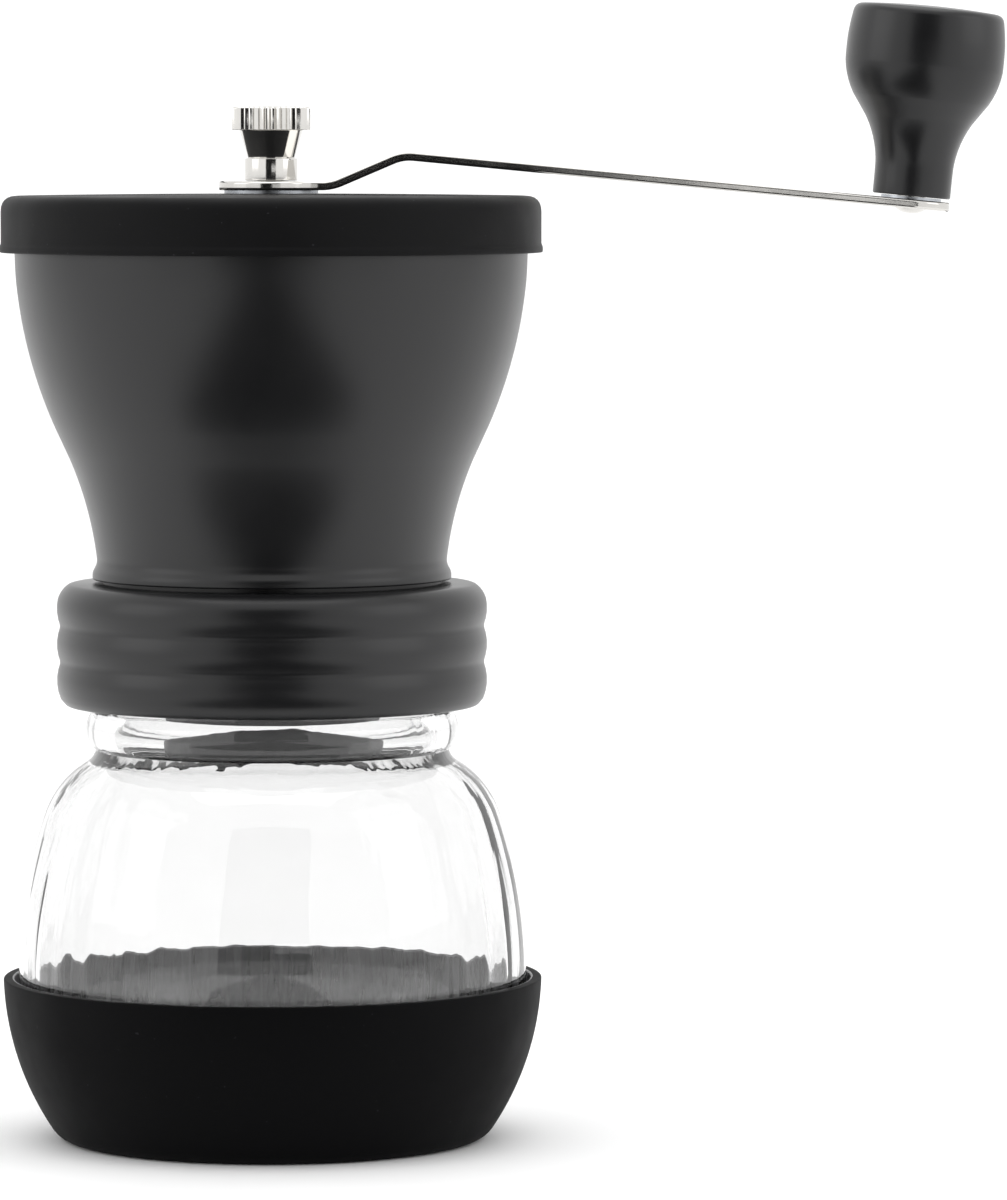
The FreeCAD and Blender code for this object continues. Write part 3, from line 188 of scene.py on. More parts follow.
def moulded(name, shades, roughness, cloud_mm, grain_mm, grain_depth_mm, values):
    """A moulded surface: slow clouds between two shades, and a fine even grain from the mould."""
    material, shader = new_material(name, values)
    place = add_node(material, "ShaderNodeTexCoord", {}).outputs["Object"]
    clouds = add_node(material, "ShaderNodeTexNoise",
                      {"Vector": place, "Scale": 1 / (cloud_mm * MM), "Detail": 3}).outputs["Fac"]
    grain = add_node(material, "ShaderNodeTexNoise",
                     {"Vector": place, "Scale": 1 / (grain_mm * MM), "Detail": 2}).outputs["Fac"]
    finish(material, shader, clouds, shades, roughness, grain, grain_depth_mm)
    return material


def dusted(material, speck_mm, amount, colour):
    """Lint and dust that a soft rubber picks up: small light specks, few and uneven."""
    shader = material.node_tree.nodes["Principled BSDF"]
    place = add_node(material, "ShaderNodeTexCoord", {}).outputs["Object"]
    specks = add_node(material, "ShaderNodeTexNoise",
                      {"Vector": place, "Scale": 1 / (speck_mm * MM), "Detail": 1}).outputs["Fac"]
    mask = add_node(material, "ShaderNodeMapRange",
                    {"Value": specks, "From Min": 1 - amount, "From Max": 1 - amount + 0.05})
    below = shader.inputs["Base Color"].links[0].from_socket
    mixed = add_node(material, "ShaderNodeMix",
                     {"Factor": mask.outputs["Result"], 6: below, 7: srgb(colour)}, data_type="RGBA")
    material.node_tree.links.new(mixed.outputs[2], shader.inputs["Base Color"])
    return material


def dress(piece, material, body, slot, *nodes):
    """Gives a new piece its material and its body, and hides the frame nodes it stands for. The slot, its
    finish, is not used.
    """
    piece.data.materials.clear()
    piece.data.materials.append(material)
    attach(piece, body)
    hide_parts(*nodes)
    return piece


boot_high = box_mm("base_boot")[1]
boot_rim_r = boot_high.x
boot_rim_z = boot_high.z
BOOT_WALL = 1.9
BOOT_FLOOR = 2.5
PAD_R = 22.0
FOOT_RING_R = 30.0
GROOVE_DEPTH = 0.6
boot = turned("soft_boot", [
    (0, 0),
    (PAD_R, 0, 0, 0.3),
    (PAD_R, GROOVE_DEPTH),
    (FOOT_RING_R, GROOVE_DEPTH),
    (FOOT_RING_R, 0, 0, 0.3),
    (boot_rim_r - 9.7, 0, 0, 2.3),
    (boot_rim_r, boot_rim_z, 2.3, 0.35),
    (boot_rim_r - BOOT_WALL, boot_rim_z, 0, 0.35),
    (boot_rim_r - 10.05, BOOT_FLOOR, -1.95, 1.5),
    (0, BOOT_FLOOR),
])
# Silicone rubber, compression moulded: near black, dull, with a soft bloom at its edges and some dust.
silicone = dusted(moulded("silicone_rubber_moulded", ("040405", "080809"), (0.5, 0.65), 14, 0.35, 0.012,
                          {"IOR": 1.41, "Specular IOR Level": 0.07, "Sheen Weight": 0.005,
                           "Sheen Roughness": 0.5}), 0.9, 0.23, "1c1c1e")
dress(boot, silicone, "boot", "silicone", "base_boot")
# The mould's core is polished, so the rubber shines inside, in faint upright streaks where it was drawn off.
# The light grey in those streaks is painted reflection, mixed into the base colour.
silicone_inside, inside_shader = new_material("silicone_rubber_core_side_painted_reflections", {
    "Base Color": srgb("1b1b1d"), "IOR": 1.41, "Specular IOR Level": 0.8})
inside_place = add_node(silicone_inside, "ShaderNodeTexCoord", {}).outputs["Object"]
inside_draw = add_node(silicone_inside, "ShaderNodeMapping", {"Vector": inside_place, "Scale": (1, 1, 0.03)})
inside_streaks = add_node(silicone_inside, "ShaderNodeTexNoise",
                          {"Vector": inside_draw.outputs["Vector"], "Scale": 1 / (2.2 * MM), "Detail": 4})
inside_gloss = add_node(silicone_inside, "ShaderNodeMapRange",
                        {"Value": inside_streaks.outputs["Fac"], "From Min": 0.35, "From Max": 0.65,
                         "To Min": 0.2, "To Max": 0.5})
# Painted reflection: where the streaks run, the base colour turns from near black towards a light grey.
painted_reflection_mask = add_node(silicone_inside, "ShaderNodeMapRange",
                        {"Value": inside_streaks.outputs["Fac"], "From Min": 0.4, "From Max": 0.7})
painted_reflection_colour = add_node(silicone_inside, "ShaderNodeMix", {
    "Factor": painted_reflection_mask.outputs["Result"], 6: srgb("141416"), 7: srgb("8a8a8c")}, data_type="RGBA")
inside_relief = add_node(silicone_inside, "ShaderNodeBump",
                         {"Height": inside_streaks.outputs["Fac"], "Distance": 0.35 * MM, "Strength": 1})
inside_links = silicone_inside.node_tree.links
inside_links.new(painted_reflection_colour.outputs[2], inside_shader.inputs["Base Color"])
inside_links.new(inside_gloss.outputs["Result"], inside_shader.inputs["Roughness"])
inside_links.new(inside_relief.outputs["Normal"], inside_shader.inputs["Normal"])
boot.data.materials.append(silicone_inside)
for face in boot.data.polygons:
    inwards = face.normal.x * face.center.x + face.normal.y * face.center.y < 0
    if inwards and face.center.z > BOOT_FLOOR * MM:
        face.material_index = 1

# Glass jar
# Clear soda-lime glass, pressed, so its walls hold slow upright waves. The neck carries a raised
# thread of one and a half turns. The jar stands loose in the boot.

jar_low, jar_high = box_mm("jar")
JAR_WALL = 2.7
JAR_FLOOR = 4.5
JAR_FOOT_R = 35.85
BELLY_R = 43.9
SHOULDER_R = 39.5
WAIST_R = 30.4
NECK_R = 31.1
NECK_WALL = 3.4
jar_foot = jar_low.z
jar_rim = jar_high.z
belly_z = jar_foot + 26.4
shoulder_z = jar_foot + 53.4
waist_z = jar_foot + 63.6
jar = turned("glass_jar", [
    (0, jar_foot),
    (JAR_FOOT_R, jar_foot, 0, 3.0),
    (BELLY_R, belly_z, 2.3),
    (SHOULDER_R, shoulder_z, 1.1),
    (WAIST_R, waist_z, 1.5, 2.4),
    (WAIST_R, waist_z + 1.1, 0, 0.5),
    (NECK_R, waist_z + 8.1, 1.45, 0.5),
    (NECK_R, jar_rim, 0, 0.9),
    (NECK_R - NECK_WALL, jar_rim, 0, 0.9),
    (NECK_R - NECK_WALL, waist_z, 0, 3.4),
    (SHOULDER_R - JAR_WALL, shoulder_z, -1.5),
    (BELLY_R - JAR_WALL, belly_z, -1.1),
    (JAR_FOOT_R - JAR_WALL, jar_foot + JAR_FLOOR, -2.3, 3.0),
    (0, jar_foot + JAR_FLOOR),
], 2 * SEGMENTS)
FLUTES = 37
FLUTE_DEPTH = 0.17
SWELL_DEPTH = 0.12
SEAM_HEIGHT = 0.12
SEAM_ANGLE = math.radians(-125)
FADE = 8.0
wave_low = jar_foot + 8.0
wave_high = jar_foot + 62.0


def inner_waves(angle):
    """How far the pressed inner wall stands in, in millimetres: uneven upright flutes on slow swells."""
    flutes = FLUTE_DEPTH * abs(math.sin(FLUTES / 2 * angle)) * (0.6 + 0.4 * math.sin(3 * angle + 2.2))
    swells = SWELL_DEPTH * (math.sin(5 * angle + 0.7) + 0.6 * math.sin(11 * angle + 2.0))
    return flutes + swells


normals = [vertex.normal.copy() for vertex in jar.data.vertices]
for vertex, normal in zip(jar.data.vertices, normals):
    radius = math.hypot(vertex.co.x, vertex.co.y)
    height = vertex.co.z / MM
    if not wave_low < height < wave_high:
        continue
    fade = min(1, (height - wave_low) / FADE, (wave_high - height) / FADE)
    angle = math.atan2(vertex.co.y, vertex.co.x)
    faces_in = normal.x * vertex.co.x + normal.y * vertex.co.y < 0
    on_seam = abs(math.remainder(angle - SEAM_ANGLE, math.pi)) < math.pi / (2 * SEGMENTS)
    shift = -inner_waves(angle) if faces_in else SEAM_HEIGHT * on_seam
    factor = 1 + shift * fade * MM / radius
    vertex.co.x *= factor
    vertex.co.y *= factor


def apply_modifiers(piece):
    """Applies every modifier of a piece, first to last."""
    bpy.ops.object.select_all(action="DESELECT")
    piece.select_set(True)
    bpy.context.view_layer.objects.active = piece
    for modifier in list(piece.modifiers):
        bpy.ops.object.modifier_apply(modifier=modifier.name)


def combine(piece, other, operation):
    """Joins a second solid to a piece, or cuts it out, and deletes that solid."""
    modifier = piece.modifiers.new("combine", "BOOLEAN")
    modifier.operation = operation
    modifier.solver = "MANIFOLD"
    modifier.object = other
    apply_modifiers(piece)
    bpy.data.objects.remove(other)
    bpy.ops.object.mode_set(mode="EDIT")
    return close_mesh(piece)


THREAD_PITCH = 4.0
THREAD_TURNS = 1.5
thread_root_r = NECK_R - 0.5
thread_crest_r = NECK_R + 1.1
thread_z = jar_foot + 73.03
thread = start_wire("glass_thread", outline([
    (thread_root_r, thread_z - 1.25),
    (thread_crest_r, thread_z - 0.45, 0, 0.3),
    (thread_crest_r, thread_z + 0.45, 0, 0.3),
    (thread_root_r, thread_z + 1.25),
    (thread_root_r, thread_z - 1.25),
]))
close_mesh(thread)
helix = thread.modifiers.new("helix", "SCREW")
helix.angle = math.tau * THREAD_TURNS
helix.screw_offset = THREAD_PITCH * THREAD_TURNS * MM
helix.steps = round(SEGMENTS * THREAD_TURNS)
helix.render_steps = helix.steps
apply_modifiers(thread)
bpy.ops.object.mode_set(mode="EDIT")
bpy.ops.mesh.select_all(action="DESELECT")
bpy.ops.mesh.select_non_manifold()
bpy.ops.mesh.edge_face_add()
close_mesh(thread)
combine(jar, thread, "UNION")

# Soda-lime glass, pressed: clear and colourless, with waves about 11 mm apart round the wall.
glass, glass_shader = new_material("soda_lime_glass_pressed", {
    "Base Color": srgb("f2f2f2"), "Transmission Weight": 1, "IOR": 1.5, "Roughness": 0})
glass_place = add_node(glass, "ShaderNodeTexCoord", {}).outputs["Object"]
glass_stretch = add_node(glass, "ShaderNodeMapping", {"Vector": glass_place, "Scale": (1, 1, 0.12)})
glass_waves = add_node(glass, "ShaderNodeTexNoise",
                       {"Vector": glass_stretch.outputs["Vector"], "Scale": 1 / (11 * MM), "Detail": 2})
glass_relief = add_node(glass, "ShaderNodeBump",
                        {"Height": glass_waves.outputs["Fac"], "Distance": 0.3 * MM, "Strength": 1})
glass_draw = add_node(glass, "ShaderNodeMapping", {"Vector": glass_place, "Scale": (1, 1, 0.02)})
glass_lines = add_node(glass, "ShaderNodeTexNoise",
                       {"Vector": glass_draw.outputs["Vector"], "Scale": 1 / (2.4 * MM), "Detail": 1})
glass_relief = add_node(glass, "ShaderNodeBump",
                        {"Height": glass_lines.outputs["Fac"], "Distance": 0.05 * MM, "Strength": 1,
                         "Normal": glass_relief.outputs["Normal"]})
glass.node_tree.links.new(glass_relief.outputs["Normal"], glass_shader.inputs["Normal"])
dress(jar, glass, "jar", "glass", "jar")

# Jar seal
# A flat ring of translucent silicone, die cut. It lies on the rim and the collar presses it down.


def coat(material, *nodes):
    """Gives frame nodes, whose shape stays, a finish."""
    for name in nodes:
        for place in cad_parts[name].material_slots:
            place.material = material


seal_rubber = moulded("silicone_sheet_translucent", ("b9b8b2", "c6c5bf"), (0.45, 0.6), 9, 0.4, 0.01,
                      {"IOR": 1.41, "Subsurface Weight": 0.4, "Subsurface Scale": 1.5 * MM})
coat(seal_rubber, "jar_seal")

# Ribbed collar
# Dark grey ABS, injection moulded against a fine sparked steel, with three soft ribs for the
# fingers. It screws down on the jar and carries the hopper.

collar_low, collar_high = box_mm("collar")
COLLAR_VALLEY = 36.55
COLLAR_BORE = 32.9
COLLAR_TOP = 3.0
COLLAR_HOLE_R = 18.0
RIB_PITCH = 6.233
RIB_BULGE = 0.62
rib_start = collar_low.z + 1.2
collar = turned("ribbed_collar", [
    (COLLAR_BORE, collar_low.z),
    (COLLAR_VALLEY - 1.0, collar_low.z, 0, 0.5),
    (COLLAR_VALLEY, rib_start),
    (COLLAR_VALLEY, rib_start + RIB_PITCH, RIB_BULGE, 0.7),
    (COLLAR_VALLEY, rib_start + 2 * RIB_PITCH, RIB_BULGE, 0.7),
    (COLLAR_VALLEY, collar_high.z - 1.2, RIB_BULGE, 1.6),
    (COLLAR_VALLEY - 2.9, collar_high.z, 0.35, 1.0),
    (COLLAR_HOLE_R, collar_high.z),
    (COLLAR_HOLE_R, collar_high.z - COLLAR_TOP),
    (COLLAR_BORE, collar_high.z - COLLAR_TOP),
    (COLLAR_BORE, collar_low.z),
])
# ABS, injection moulded and sparked: dark neutral grey with a satin shine that clouds slightly.
satin_abs = moulded("abs_satin_moulded", ("08080a", "0d0d0f"), (0.29, 0.35), 18, 0.22, 0.005,
                    {"IOR": 1.52, "Specular IOR Level": 0.46})
dress(collar, satin_abs, "head", "satin_plastic", "collar")

# Tulip hopper
# The bean hopper, one moulding in the same ABS: a flared shell with a throat at its foot, a hub
# on three webs for the lower bearing, and three ledges under the rim for the bearing bridge.

hopper_foot = collar_high.z
hopper_top = box_mm("hopper")[1].z
HOPPER_RIM_R = 44.2
HOPPER_TURN_R = 36.1
HOPPER_THROAT_R = 30.15
HOPPER_LIP_R = 31.0
HOPPER_STEP_R = 29.3
HOPPER_HOLE_R = 15.8
HOPPER_WALL = 2.2
turn_z = hopper_foot + 24.2
flare_z = hopper_foot + 55.3
inner_rim_r = HOPPER_RIM_R - HOPPER_WALL
hopper = turned("tulip_hopper", [
    (HOPPER_HOLE_R, hopper_foot),
    (HOPPER_STEP_R, hopper_foot),
    (HOPPER_STEP_R, hopper_foot + 0.7),
    (HOPPER_LIP_R, hopper_foot + 0.7, 0, 0.3),
    (HOPPER_LIP_R, hopper_foot + 1.9, 0, 0.5),
    (HOPPER_THROAT_R, hopper_foot + 3.5, 0, 0.8),
    (HOPPER_TURN_R, turn_z, -0.95, 3.0),
    (HOPPER_RIM_R, flare_z, 1.6, 3.0),
    (HOPPER_RIM_R, hopper_top, 0, 0.5),
    (inner_rim_r, hopper_top, 0, 0.5),
    (inner_rim_r, flare_z, 0, 3.0),
    (HOPPER_TURN_R - HOPPER_WALL, turn_z, -1.6, 3.0),
    (HOPPER_THROAT_R - HOPPER_WALL, hopper_foot + 5.7, 0.95, 1.0),
    (HOPPER_HOLE_R, hopper_foot + 2.0),
    (HOPPER_HOLE_R, hopper_foot),
])


def block(low, high, edge):
    """A solid between two corners in millimetres, its edges rounded."""
    size = [(b - a) * MM for a, b in zip(low, high)]
    middle = [(a + b) / 2 * MM for a, b in zip(low, high)]
    bpy.ops.object.select_all(action="DESELECT")
    bpy.ops.mesh.primitive_cube_add(size=1, location=middle, scale=size)
    made = bpy.context.object
    bpy.ops.object.transform_apply(location=True, rotation=True, scale=True)
    bpy.ops.object.mode_set(mode="EDIT")
    bpy.ops.mesh.bevel(offset=edge * MM, segments=3, affect="EDGES")
    return close_mesh(made)


def turn_about_z(piece, angle):
    """Turns a piece's mesh about the Z axis."""
    piece.rotation_euler = (0, 0, angle)
    bpy.ops.object.transform_apply(location=True, rotation=True, scale=True)
    return piece


WEBS = 3
WEB_HALF_WIDTH = 1.5
LEDGE_HALF_WIDTH = 4.0
ledge_low = hopper_top - 16.2
ledge_high = hopper_top - 10.7
for count in range(WEBS):
    angle = count * math.tau / WEBS
    web = block((5.5, -WEB_HALF_WIDTH, hopper_foot), (17.5, WEB_HALF_WIDTH, hopper_foot + 4.0), 0.4)
    combine(hopper, turn_about_z(web, angle), "UNION")
    ledge = block((inner_rim_r - 6.4, -LEDGE_HALF_WIDTH, ledge_low),
                  (inner_rim_r + 1.0, LEDGE_HALF_WIDTH, ledge_high), 0.5)
    combine(hopper, turn_about_z(ledge, angle), "UNION")
HUB_R = 6.5
HUB_BORE = 4.6
hub_low = hopper_foot - 4.3
hub_high = hopper_foot + 4.7
hub = turned("lower_hub", [
    (HUB_BORE, hub_low),
    (HUB_R, hub_low, 0, 0.4),
    (HUB_R, hub_high, 0, 0.4),
    (HUB_BORE, hub_high),
    (HUB_BORE, hub_low),
], 48)
combine(hopper, hub, "UNION")
dress(hopper, satin_abs, "head", "satin_plastic", "hopper")

# Burr cup, burr core and bearing bridge
# Glass-filled nylon mouldings, black and stiff. The cup hangs under the collar on three screws,
# and the bridge spans the hopper's mouth on three more.

nylon = moulded("nylon_glass_filled", ("131315", "1d1d1f"), (0.42, 0.58), 3, 0.3, 0.015, {"IOR": 1.53})
coat(nylon, "burr_carrier", "bearing_bridge", "burr_core")

# Burrs
# Alumina ceramic, pressed and sintered, unglazed. The ring is held in the cup and the cone turns.

ceramic = moulded("alumina_sintered", ("d6d1c4", "e6e2d8"), (0.5, 0.68), 2.5, 0.18, 0.012, {"IOR": 1.6})
coat(ceramic, "outer_burr", "inner_burr")

# Bushes
# Plain bearings in natural acetal, turned, pressed into the hub and the bridge.

acetal = moulded("acetal_natural", ("dedcd2", "e9e7df"), (0.3, 0.4), 6, 0.3, 0.006,
                 {"IOR": 1.48, "Subsurface Weight": 0.25, "Subsurface Scale": 1.2 * MM})
coat(acetal, "lower_bush", "upper_bush")

# Shaft, spring, washers, nut and screws
# Steel, turned or stamped, zinc plated: a cool bright grey with fine rings from the lathe.


def turned_metal(name, shades, roughness, ring_mm, ring_depth_mm, centre=(0, 0, 0)):
    """A lathe-turned metal: fine rings about an upright axis, and slow clouds in its shine."""
    material, shader = new_material(name, {"Metallic": 1})
    place = add_node(material, "ShaderNodeTexCoord", {}).outputs["Object"]
    moved = add_node(material, "ShaderNodeMapping",
                     {"Vector": place, "Location": [-c * MM for c in centre]}).outputs["Vector"]
    flat = add_node(material, "ShaderNodeVectorMath", {0: moved, 1: (1, 1, 0)}, operation="MULTIPLY")
    radius = add_node(material, "ShaderNodeVectorMath", {0: flat.outputs[0]}, operation="LENGTH")
    height = add_node(material, "ShaderNodeSeparateXYZ", {"Vector": moved}).outputs["Z"]
    both = add_node(material, "ShaderNodeMath", {0: radius.outputs["Value"], 1: height}, operation="ADD")
    rings = add_node(material, "ShaderNodeTexNoise",
                     {"W": both.outputs[0], "Scale": 1 / (ring_mm * MM), "Detail": 2}, noise_dimensions="1D")
    clouds = add_node(material, "ShaderNodeTexNoise",
                      {"Vector": place, "Scale": 1 / (4 * MM), "Detail": 3}).outputs["Fac"]
    finish(material, shader, clouds, shades, roughness, rings.outputs["Fac"], ring_depth_mm)
    return material


zinc = turned_metal("steel_zinc_plated", ("a9adb3", "c3c6ca"), (0.24, 0.36), 0.25, 0.004)
coat(zinc, "head_screws", "bridge_screws", "shaft_clip", "spring_washer", "burr_spring", "thrust_washer",
     "adjust_nut", "lock_plate", "arm_washer", "knob_washer", "drive_shaft")
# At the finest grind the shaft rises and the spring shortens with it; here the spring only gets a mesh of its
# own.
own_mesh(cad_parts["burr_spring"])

# Lid
# A flat cap of the same black silicone, pressed in one piece, with a skirt that closes over the
# hopper's rim and a hole in the middle for the shaft.

lid_low, lid_high = box_mm("lid")
LID_R = 46.55
LID_PLATE = 1.7
LID_HOLE_R = 3.35
LID_RING_BORE = 39.85
LID_RING_R = 41.65
LID_RING_DEPTH = 2.6
SKIRT_BORE = 44.55
LID_BEAD_R = LID_R + 0.25
lid_edge = lid_high.z - 0.35
lid_ceiling = lid_edge - LID_PLATE
lid = turned("hopper_lid", [
    (LID_HOLE_R, lid_ceiling),
    (LID_RING_BORE, lid_ceiling),
    (LID_RING_BORE, lid_ceiling - LID_RING_DEPTH, 0, 0.3),
    (LID_RING_R, lid_ceiling - LID_RING_DEPTH, 0, 0.3),
    (LID_RING_R, lid_ceiling),
    (SKIRT_BORE, lid_ceiling),
    (SKIRT_BORE, lid_low.z, 0, 0.3),
    (LID_BEAD_R, lid_low.z, 0, 0.35),
    (LID_BEAD_R, lid_low.z + 1.0, 0, 0.3),
    (LID_R, lid_low.z + 1.5, 0, 0.3),
    (LID_R, lid_edge, 0, 2.7),
    (LID_HOLE_R, lid_high.z, 0.1, 0.3),
    (LID_HOLE_R, lid_ceiling),
])
# The lid's silicone is a shade lighter than the boot's, and its flat top has gathered more dust.
lid_silicone = dusted(moulded("silicone_rubber_lid", ("0a0a0b", "0f0f10"), (0.46, 0.6), 14, 0.35, 0.012,
                              {"IOR": 1.41, "Specular IOR Level": 0.12, "Sheen Weight": 0.008,
                               "Sheen Roughness": 0.5}), 0.7, 0.245, "2c2c2f")
dress(lid, lid_silicone, "lid", "silicone", "lid")

# Crank arm
# A strip of stainless steel, stamped with a round eye over the shaft, bent up past the lid's
# middle and down again towards the knob, then polished along its length.

arm_low, arm_high = box_mm("crank_arm")
ARM_THICKNESS = 1.55
ARM_HALF_WIDTH = 6.6
EYE_RADIUS = 9.0
NECK_FILLET = 6.6
FIRST_BEND = 10.5
SECOND_BEND = 22.7
ARM_RISE = 5.2
ARM_SLOPE = math.radians(5.43)
KNOB_X = arm_high.x - ARM_HALF_WIDTH
arm_middle_z = box_mm("arm_washer")[1].z + ARM_THICKNESS / 2
arm_tip_z = arm_middle_z + ARM_RISE - (arm_high.x - SECOND_BEND) * math.tan(ARM_SLOPE)
bend_line = outline([
    (arm_low.x, arm_middle_z),
    (FIRST_BEND, arm_middle_z, 0, 1.6),
    (SECOND_BEND, arm_middle_z + ARM_RISE, 0, 1.9),
    (arm_high.x, arm_tip_z),
])
fillet_x = math.sqrt((EYE_RADIUS + NECK_FILLET) ** 2 - (ARM_HALF_WIDTH + NECK_FILLET) ** 2)
touch_x = fillet_x * EYE_RADIUS / (EYE_RADIUS + NECK_FILLET)


def arm_half_width(x):
    """Half the strip's width at a distance from the shaft, in millimetres."""
    if x < touch_x:
        return math.sqrt(max(0, EYE_RADIUS ** 2 - x ** 2))
    if x < fillet_x:
        return ARM_HALF_WIDTH + NECK_FILLET - math.sqrt(NECK_FILLET ** 2 - (x - fillet_x) ** 2)
    if x < KNOB_X:
        return ARM_HALF_WIDTH
    return math.sqrt(max(0, ARM_HALF_WIDTH ** 2 - (x - KNOB_X) ** 2))


def arm_height(x):
    """Height of the strip's middle at a distance from the shaft, both in millimetres."""
    for before, after in zip(bend_line, bend_line[1:]):
        if x * MM <= after.x + 1e-9:
            share = (x * MM - before.x) / (after.x - before.x)
            return (before.z + (after.z - before.z) * share) / MM
    return bend_line[-1].z / MM


touch_angle = math.acos(-touch_x / EYE_RADIUS)
columns = [-EYE_RADIUS * math.cos(touch_angle * i / 36) for i in range(37)]
columns += [touch_x + (fillet_x - touch_x) * i / 8 for i in range(1, 9)]
columns += [p.x / MM for p in bend_line[1:-1]]
columns += [SECOND_BEND + 2.6 + (KNOB_X - SECOND_BEND - 2.6) * i / 24 for i in range(1, 25)]
columns += [KNOB_X + ARM_HALF_WIDTH * math.sin(math.pi / 2 * i / 16) for i in range(1, 17)]
arm = start_wire("crank_strip", [Vector((x, 0, arm_height(x))) * MM for x in columns])
bpy.ops.mesh.select_all(action="SELECT")
bpy.ops.transform.translate(value=(0, -MM, 0))
bpy.ops.mesh.extrude_region_move(TRANSFORM_OT_translate={"value": (0, 2 * MM, 0)})
for x in columns:
    bpy.ops.mesh.select_all(action="DESELECT")
    mesh = bmesh.from_edit_mesh(arm.data)
    for vertex in mesh.verts:
        vertex.select = abs(vertex.co.x - x * MM) < 1e-6
    mesh.select_flush(True)
    bpy.ops.transform.resize(value=(1, arm_half_width(x), 1), center_override=(0, 0, 0))
close_mesh(arm)
wall = arm.modifiers.new("thickness", "SOLIDIFY")
wall.thickness = ARM_THICKNESS * MM
wall.offset = 0
wall.use_even_offset = True
apply_modifiers(arm)

STUD_HOLE_R = 2.5
STUD_FLATS = 4.1
bpy.ops.object.select_all(action="DESELECT")
bpy.ops.mesh.primitive_cylinder_add(vertices=64, radius=STUD_HOLE_R * MM, depth=6 * MM,
                                    location=(0, 0, arm_middle_z * MM))
stud_hole = bpy.context.object
bpy.ops.object.transform_apply(location=True, rotation=True, scale=True)
bpy.ops.object.mode_set(mode="EDIT")
for side in (-1, 1):
    bpy.ops.mesh.select_all(action="SELECT")
    bpy.ops.mesh.bisect(plane_co=(0, side * STUD_FLATS / 2 * MM, 0), plane_no=(0, side, 0),
                        use_fill=True, clear_outer=True)
close_mesh(stud_hole)
combine(arm, stud_hole, "DIFFERENCE")
rounding = arm.modifiers.new("edge_rounding", "BEVEL")
rounding.width = 0.45 * MM
rounding.segments = 4
rounding.use_clamp_overlap = False
rounding.limit_method = "ANGLE"
rounding.angle_limit = math.radians(50)
apply_modifiers(arm)
bpy.ops.object.shade_smooth_by_angle(angle=SMOOTH_ANGLE)


def polished_metal(name, shades, roughness, scratch_mm, scratch_depth_mm):
    """A metal polished along X: long faint scratches, and fingerprints that dull it in clouds."""
    material, shader = new_material(name, {"Metallic": 1})
    place = add_node(material, "ShaderNodeTexCoord", {}).outputs["Object"]
    stretched = add_node(material, "ShaderNodeMapping", {"Vector": place, "Scale": (0.03, 1, 1)})
    scratches = add_node(material, "ShaderNodeTexNoise",
                         {"Vector": stretched.outputs["Vector"], "Scale": 1 / (scratch_mm * MM), "Detail": 3})
    clouds = add_node(material, "ShaderNodeTexNoise",
                      {"Vector": place, "Scale": 1 / (9 * MM), "Detail": 4}).outputs["Fac"]
    finish(material, shader, clouds, shades, roughness, scratches.outputs["Fac"], scratch_depth_mm,
           gloss_span=(0.35, 0.7))
    return material


# Stainless steel, stamped and polished: bright, slightly warm, soft in its reflections.
polished_steel = polished_metal("stainless_steel_polished", ("c4c2be", "d6d4d0"), (0.07, 0.15), 0.2, 0.0015)
dress(arm, polished_steel, "crank", "polished_steel", "crank_arm")
coat(polished_steel, "knob_pin")

# Knob
# The hand grip, moulded in the hopper's ABS: a straight stem that swells into a wide head with a
# slightly domed end. It turns on a pin riveted through the end of the arm and tilts with it.

KNOB_SEAT = 0.55
KNOB_BORE = 2.55
KNOB_BORE_DEPTH = 25.0
KNOB_STEM_R = 6.7
knob = turned("grip_knob", [
    (0, KNOB_SEAT + KNOB_BORE_DEPTH),
    (KNOB_BORE, KNOB_SEAT + KNOB_BORE_DEPTH),
    (KNOB_BORE, KNOB_SEAT, 0, 0.2),
    (KNOB_STEM_R, KNOB_SEAT, 0, 0.35),
    (KNOB_STEM_R, KNOB_SEAT + 3.8, 0, 1.5),
    (10.4, KNOB_SEAT + 14.9, -1.0, 2.0),
    (13.65, KNOB_SEAT + 24.6, 0.95, 2.0),
    (12.75, KNOB_SEAT + 32.2, 0.2, 1.2),
    (0, KNOB_SEAT + 32.8, 0.15),
], 128)
arm_top_at_knob = (arm_middle_z + ARM_RISE - (KNOB_X - SECOND_BEND) * math.tan(ARM_SLOPE)
                   + ARM_THICKNESS / 2 / math.cos(ARM_SLOPE))
knob.rotation_euler = Euler((0, ARM_SLOPE, 0))
knob.location = Vector((KNOB_X, 0, arm_top_at_knob)) * MM
bpy.ops.object.transform_apply(location=True, rotation=True, scale=True)
dress(knob, satin_abs, "knob", "satin_plastic", "knob")

# Thumb nut
# Brass, turned: a plain stem, a cone and a knurled head, then nickel plated and polished. It
# screws on the shaft's stud and holds the arm down.

nut_low, nut_high = box_mm("thumb_nut")
KNURLS = 40
KNURL_STEPS = 5
KNURL_DEPTH = 0.35
NUT_HEAD_R = 6.75
NUT_STEM_R = 4.55
NUT_STEM_TOP = 3.8
NUT_BORE = 2.55
NUT_BORE_DEPTH = 10.4
head_low = nut_low.z + 8.7
head_high = nut_high.z - 0.4
thumb_nut = turned("knurled_thumb_nut", [
    (0, nut_low.z + NUT_BORE_DEPTH),
    (NUT_BORE, nut_low.z + NUT_BORE_DEPTH),
    (NUT_BORE, nut_low.z),
    (NUT_STEM_R, nut_low.z, 0, 0.2),
    (NUT_STEM_R, nut_low.z + NUT_STEM_TOP, 0, 0.15),
    (NUT_STEM_R - 0.5, nut_low.z + NUT_STEM_TOP + 0.1),
    (5.5, head_low, 0, 0.1),
    (NUT_HEAD_R, head_low, 0, 0.12),
    (NUT_HEAD_R, head_high, 0, 0.4),
    (0, nut_high.z, 0.1),
], KNURLS * KNURL_STEPS)
bpy.ops.object.mode_set(mode="EDIT")
knurl_flank = 1 / KNURL_STEPS
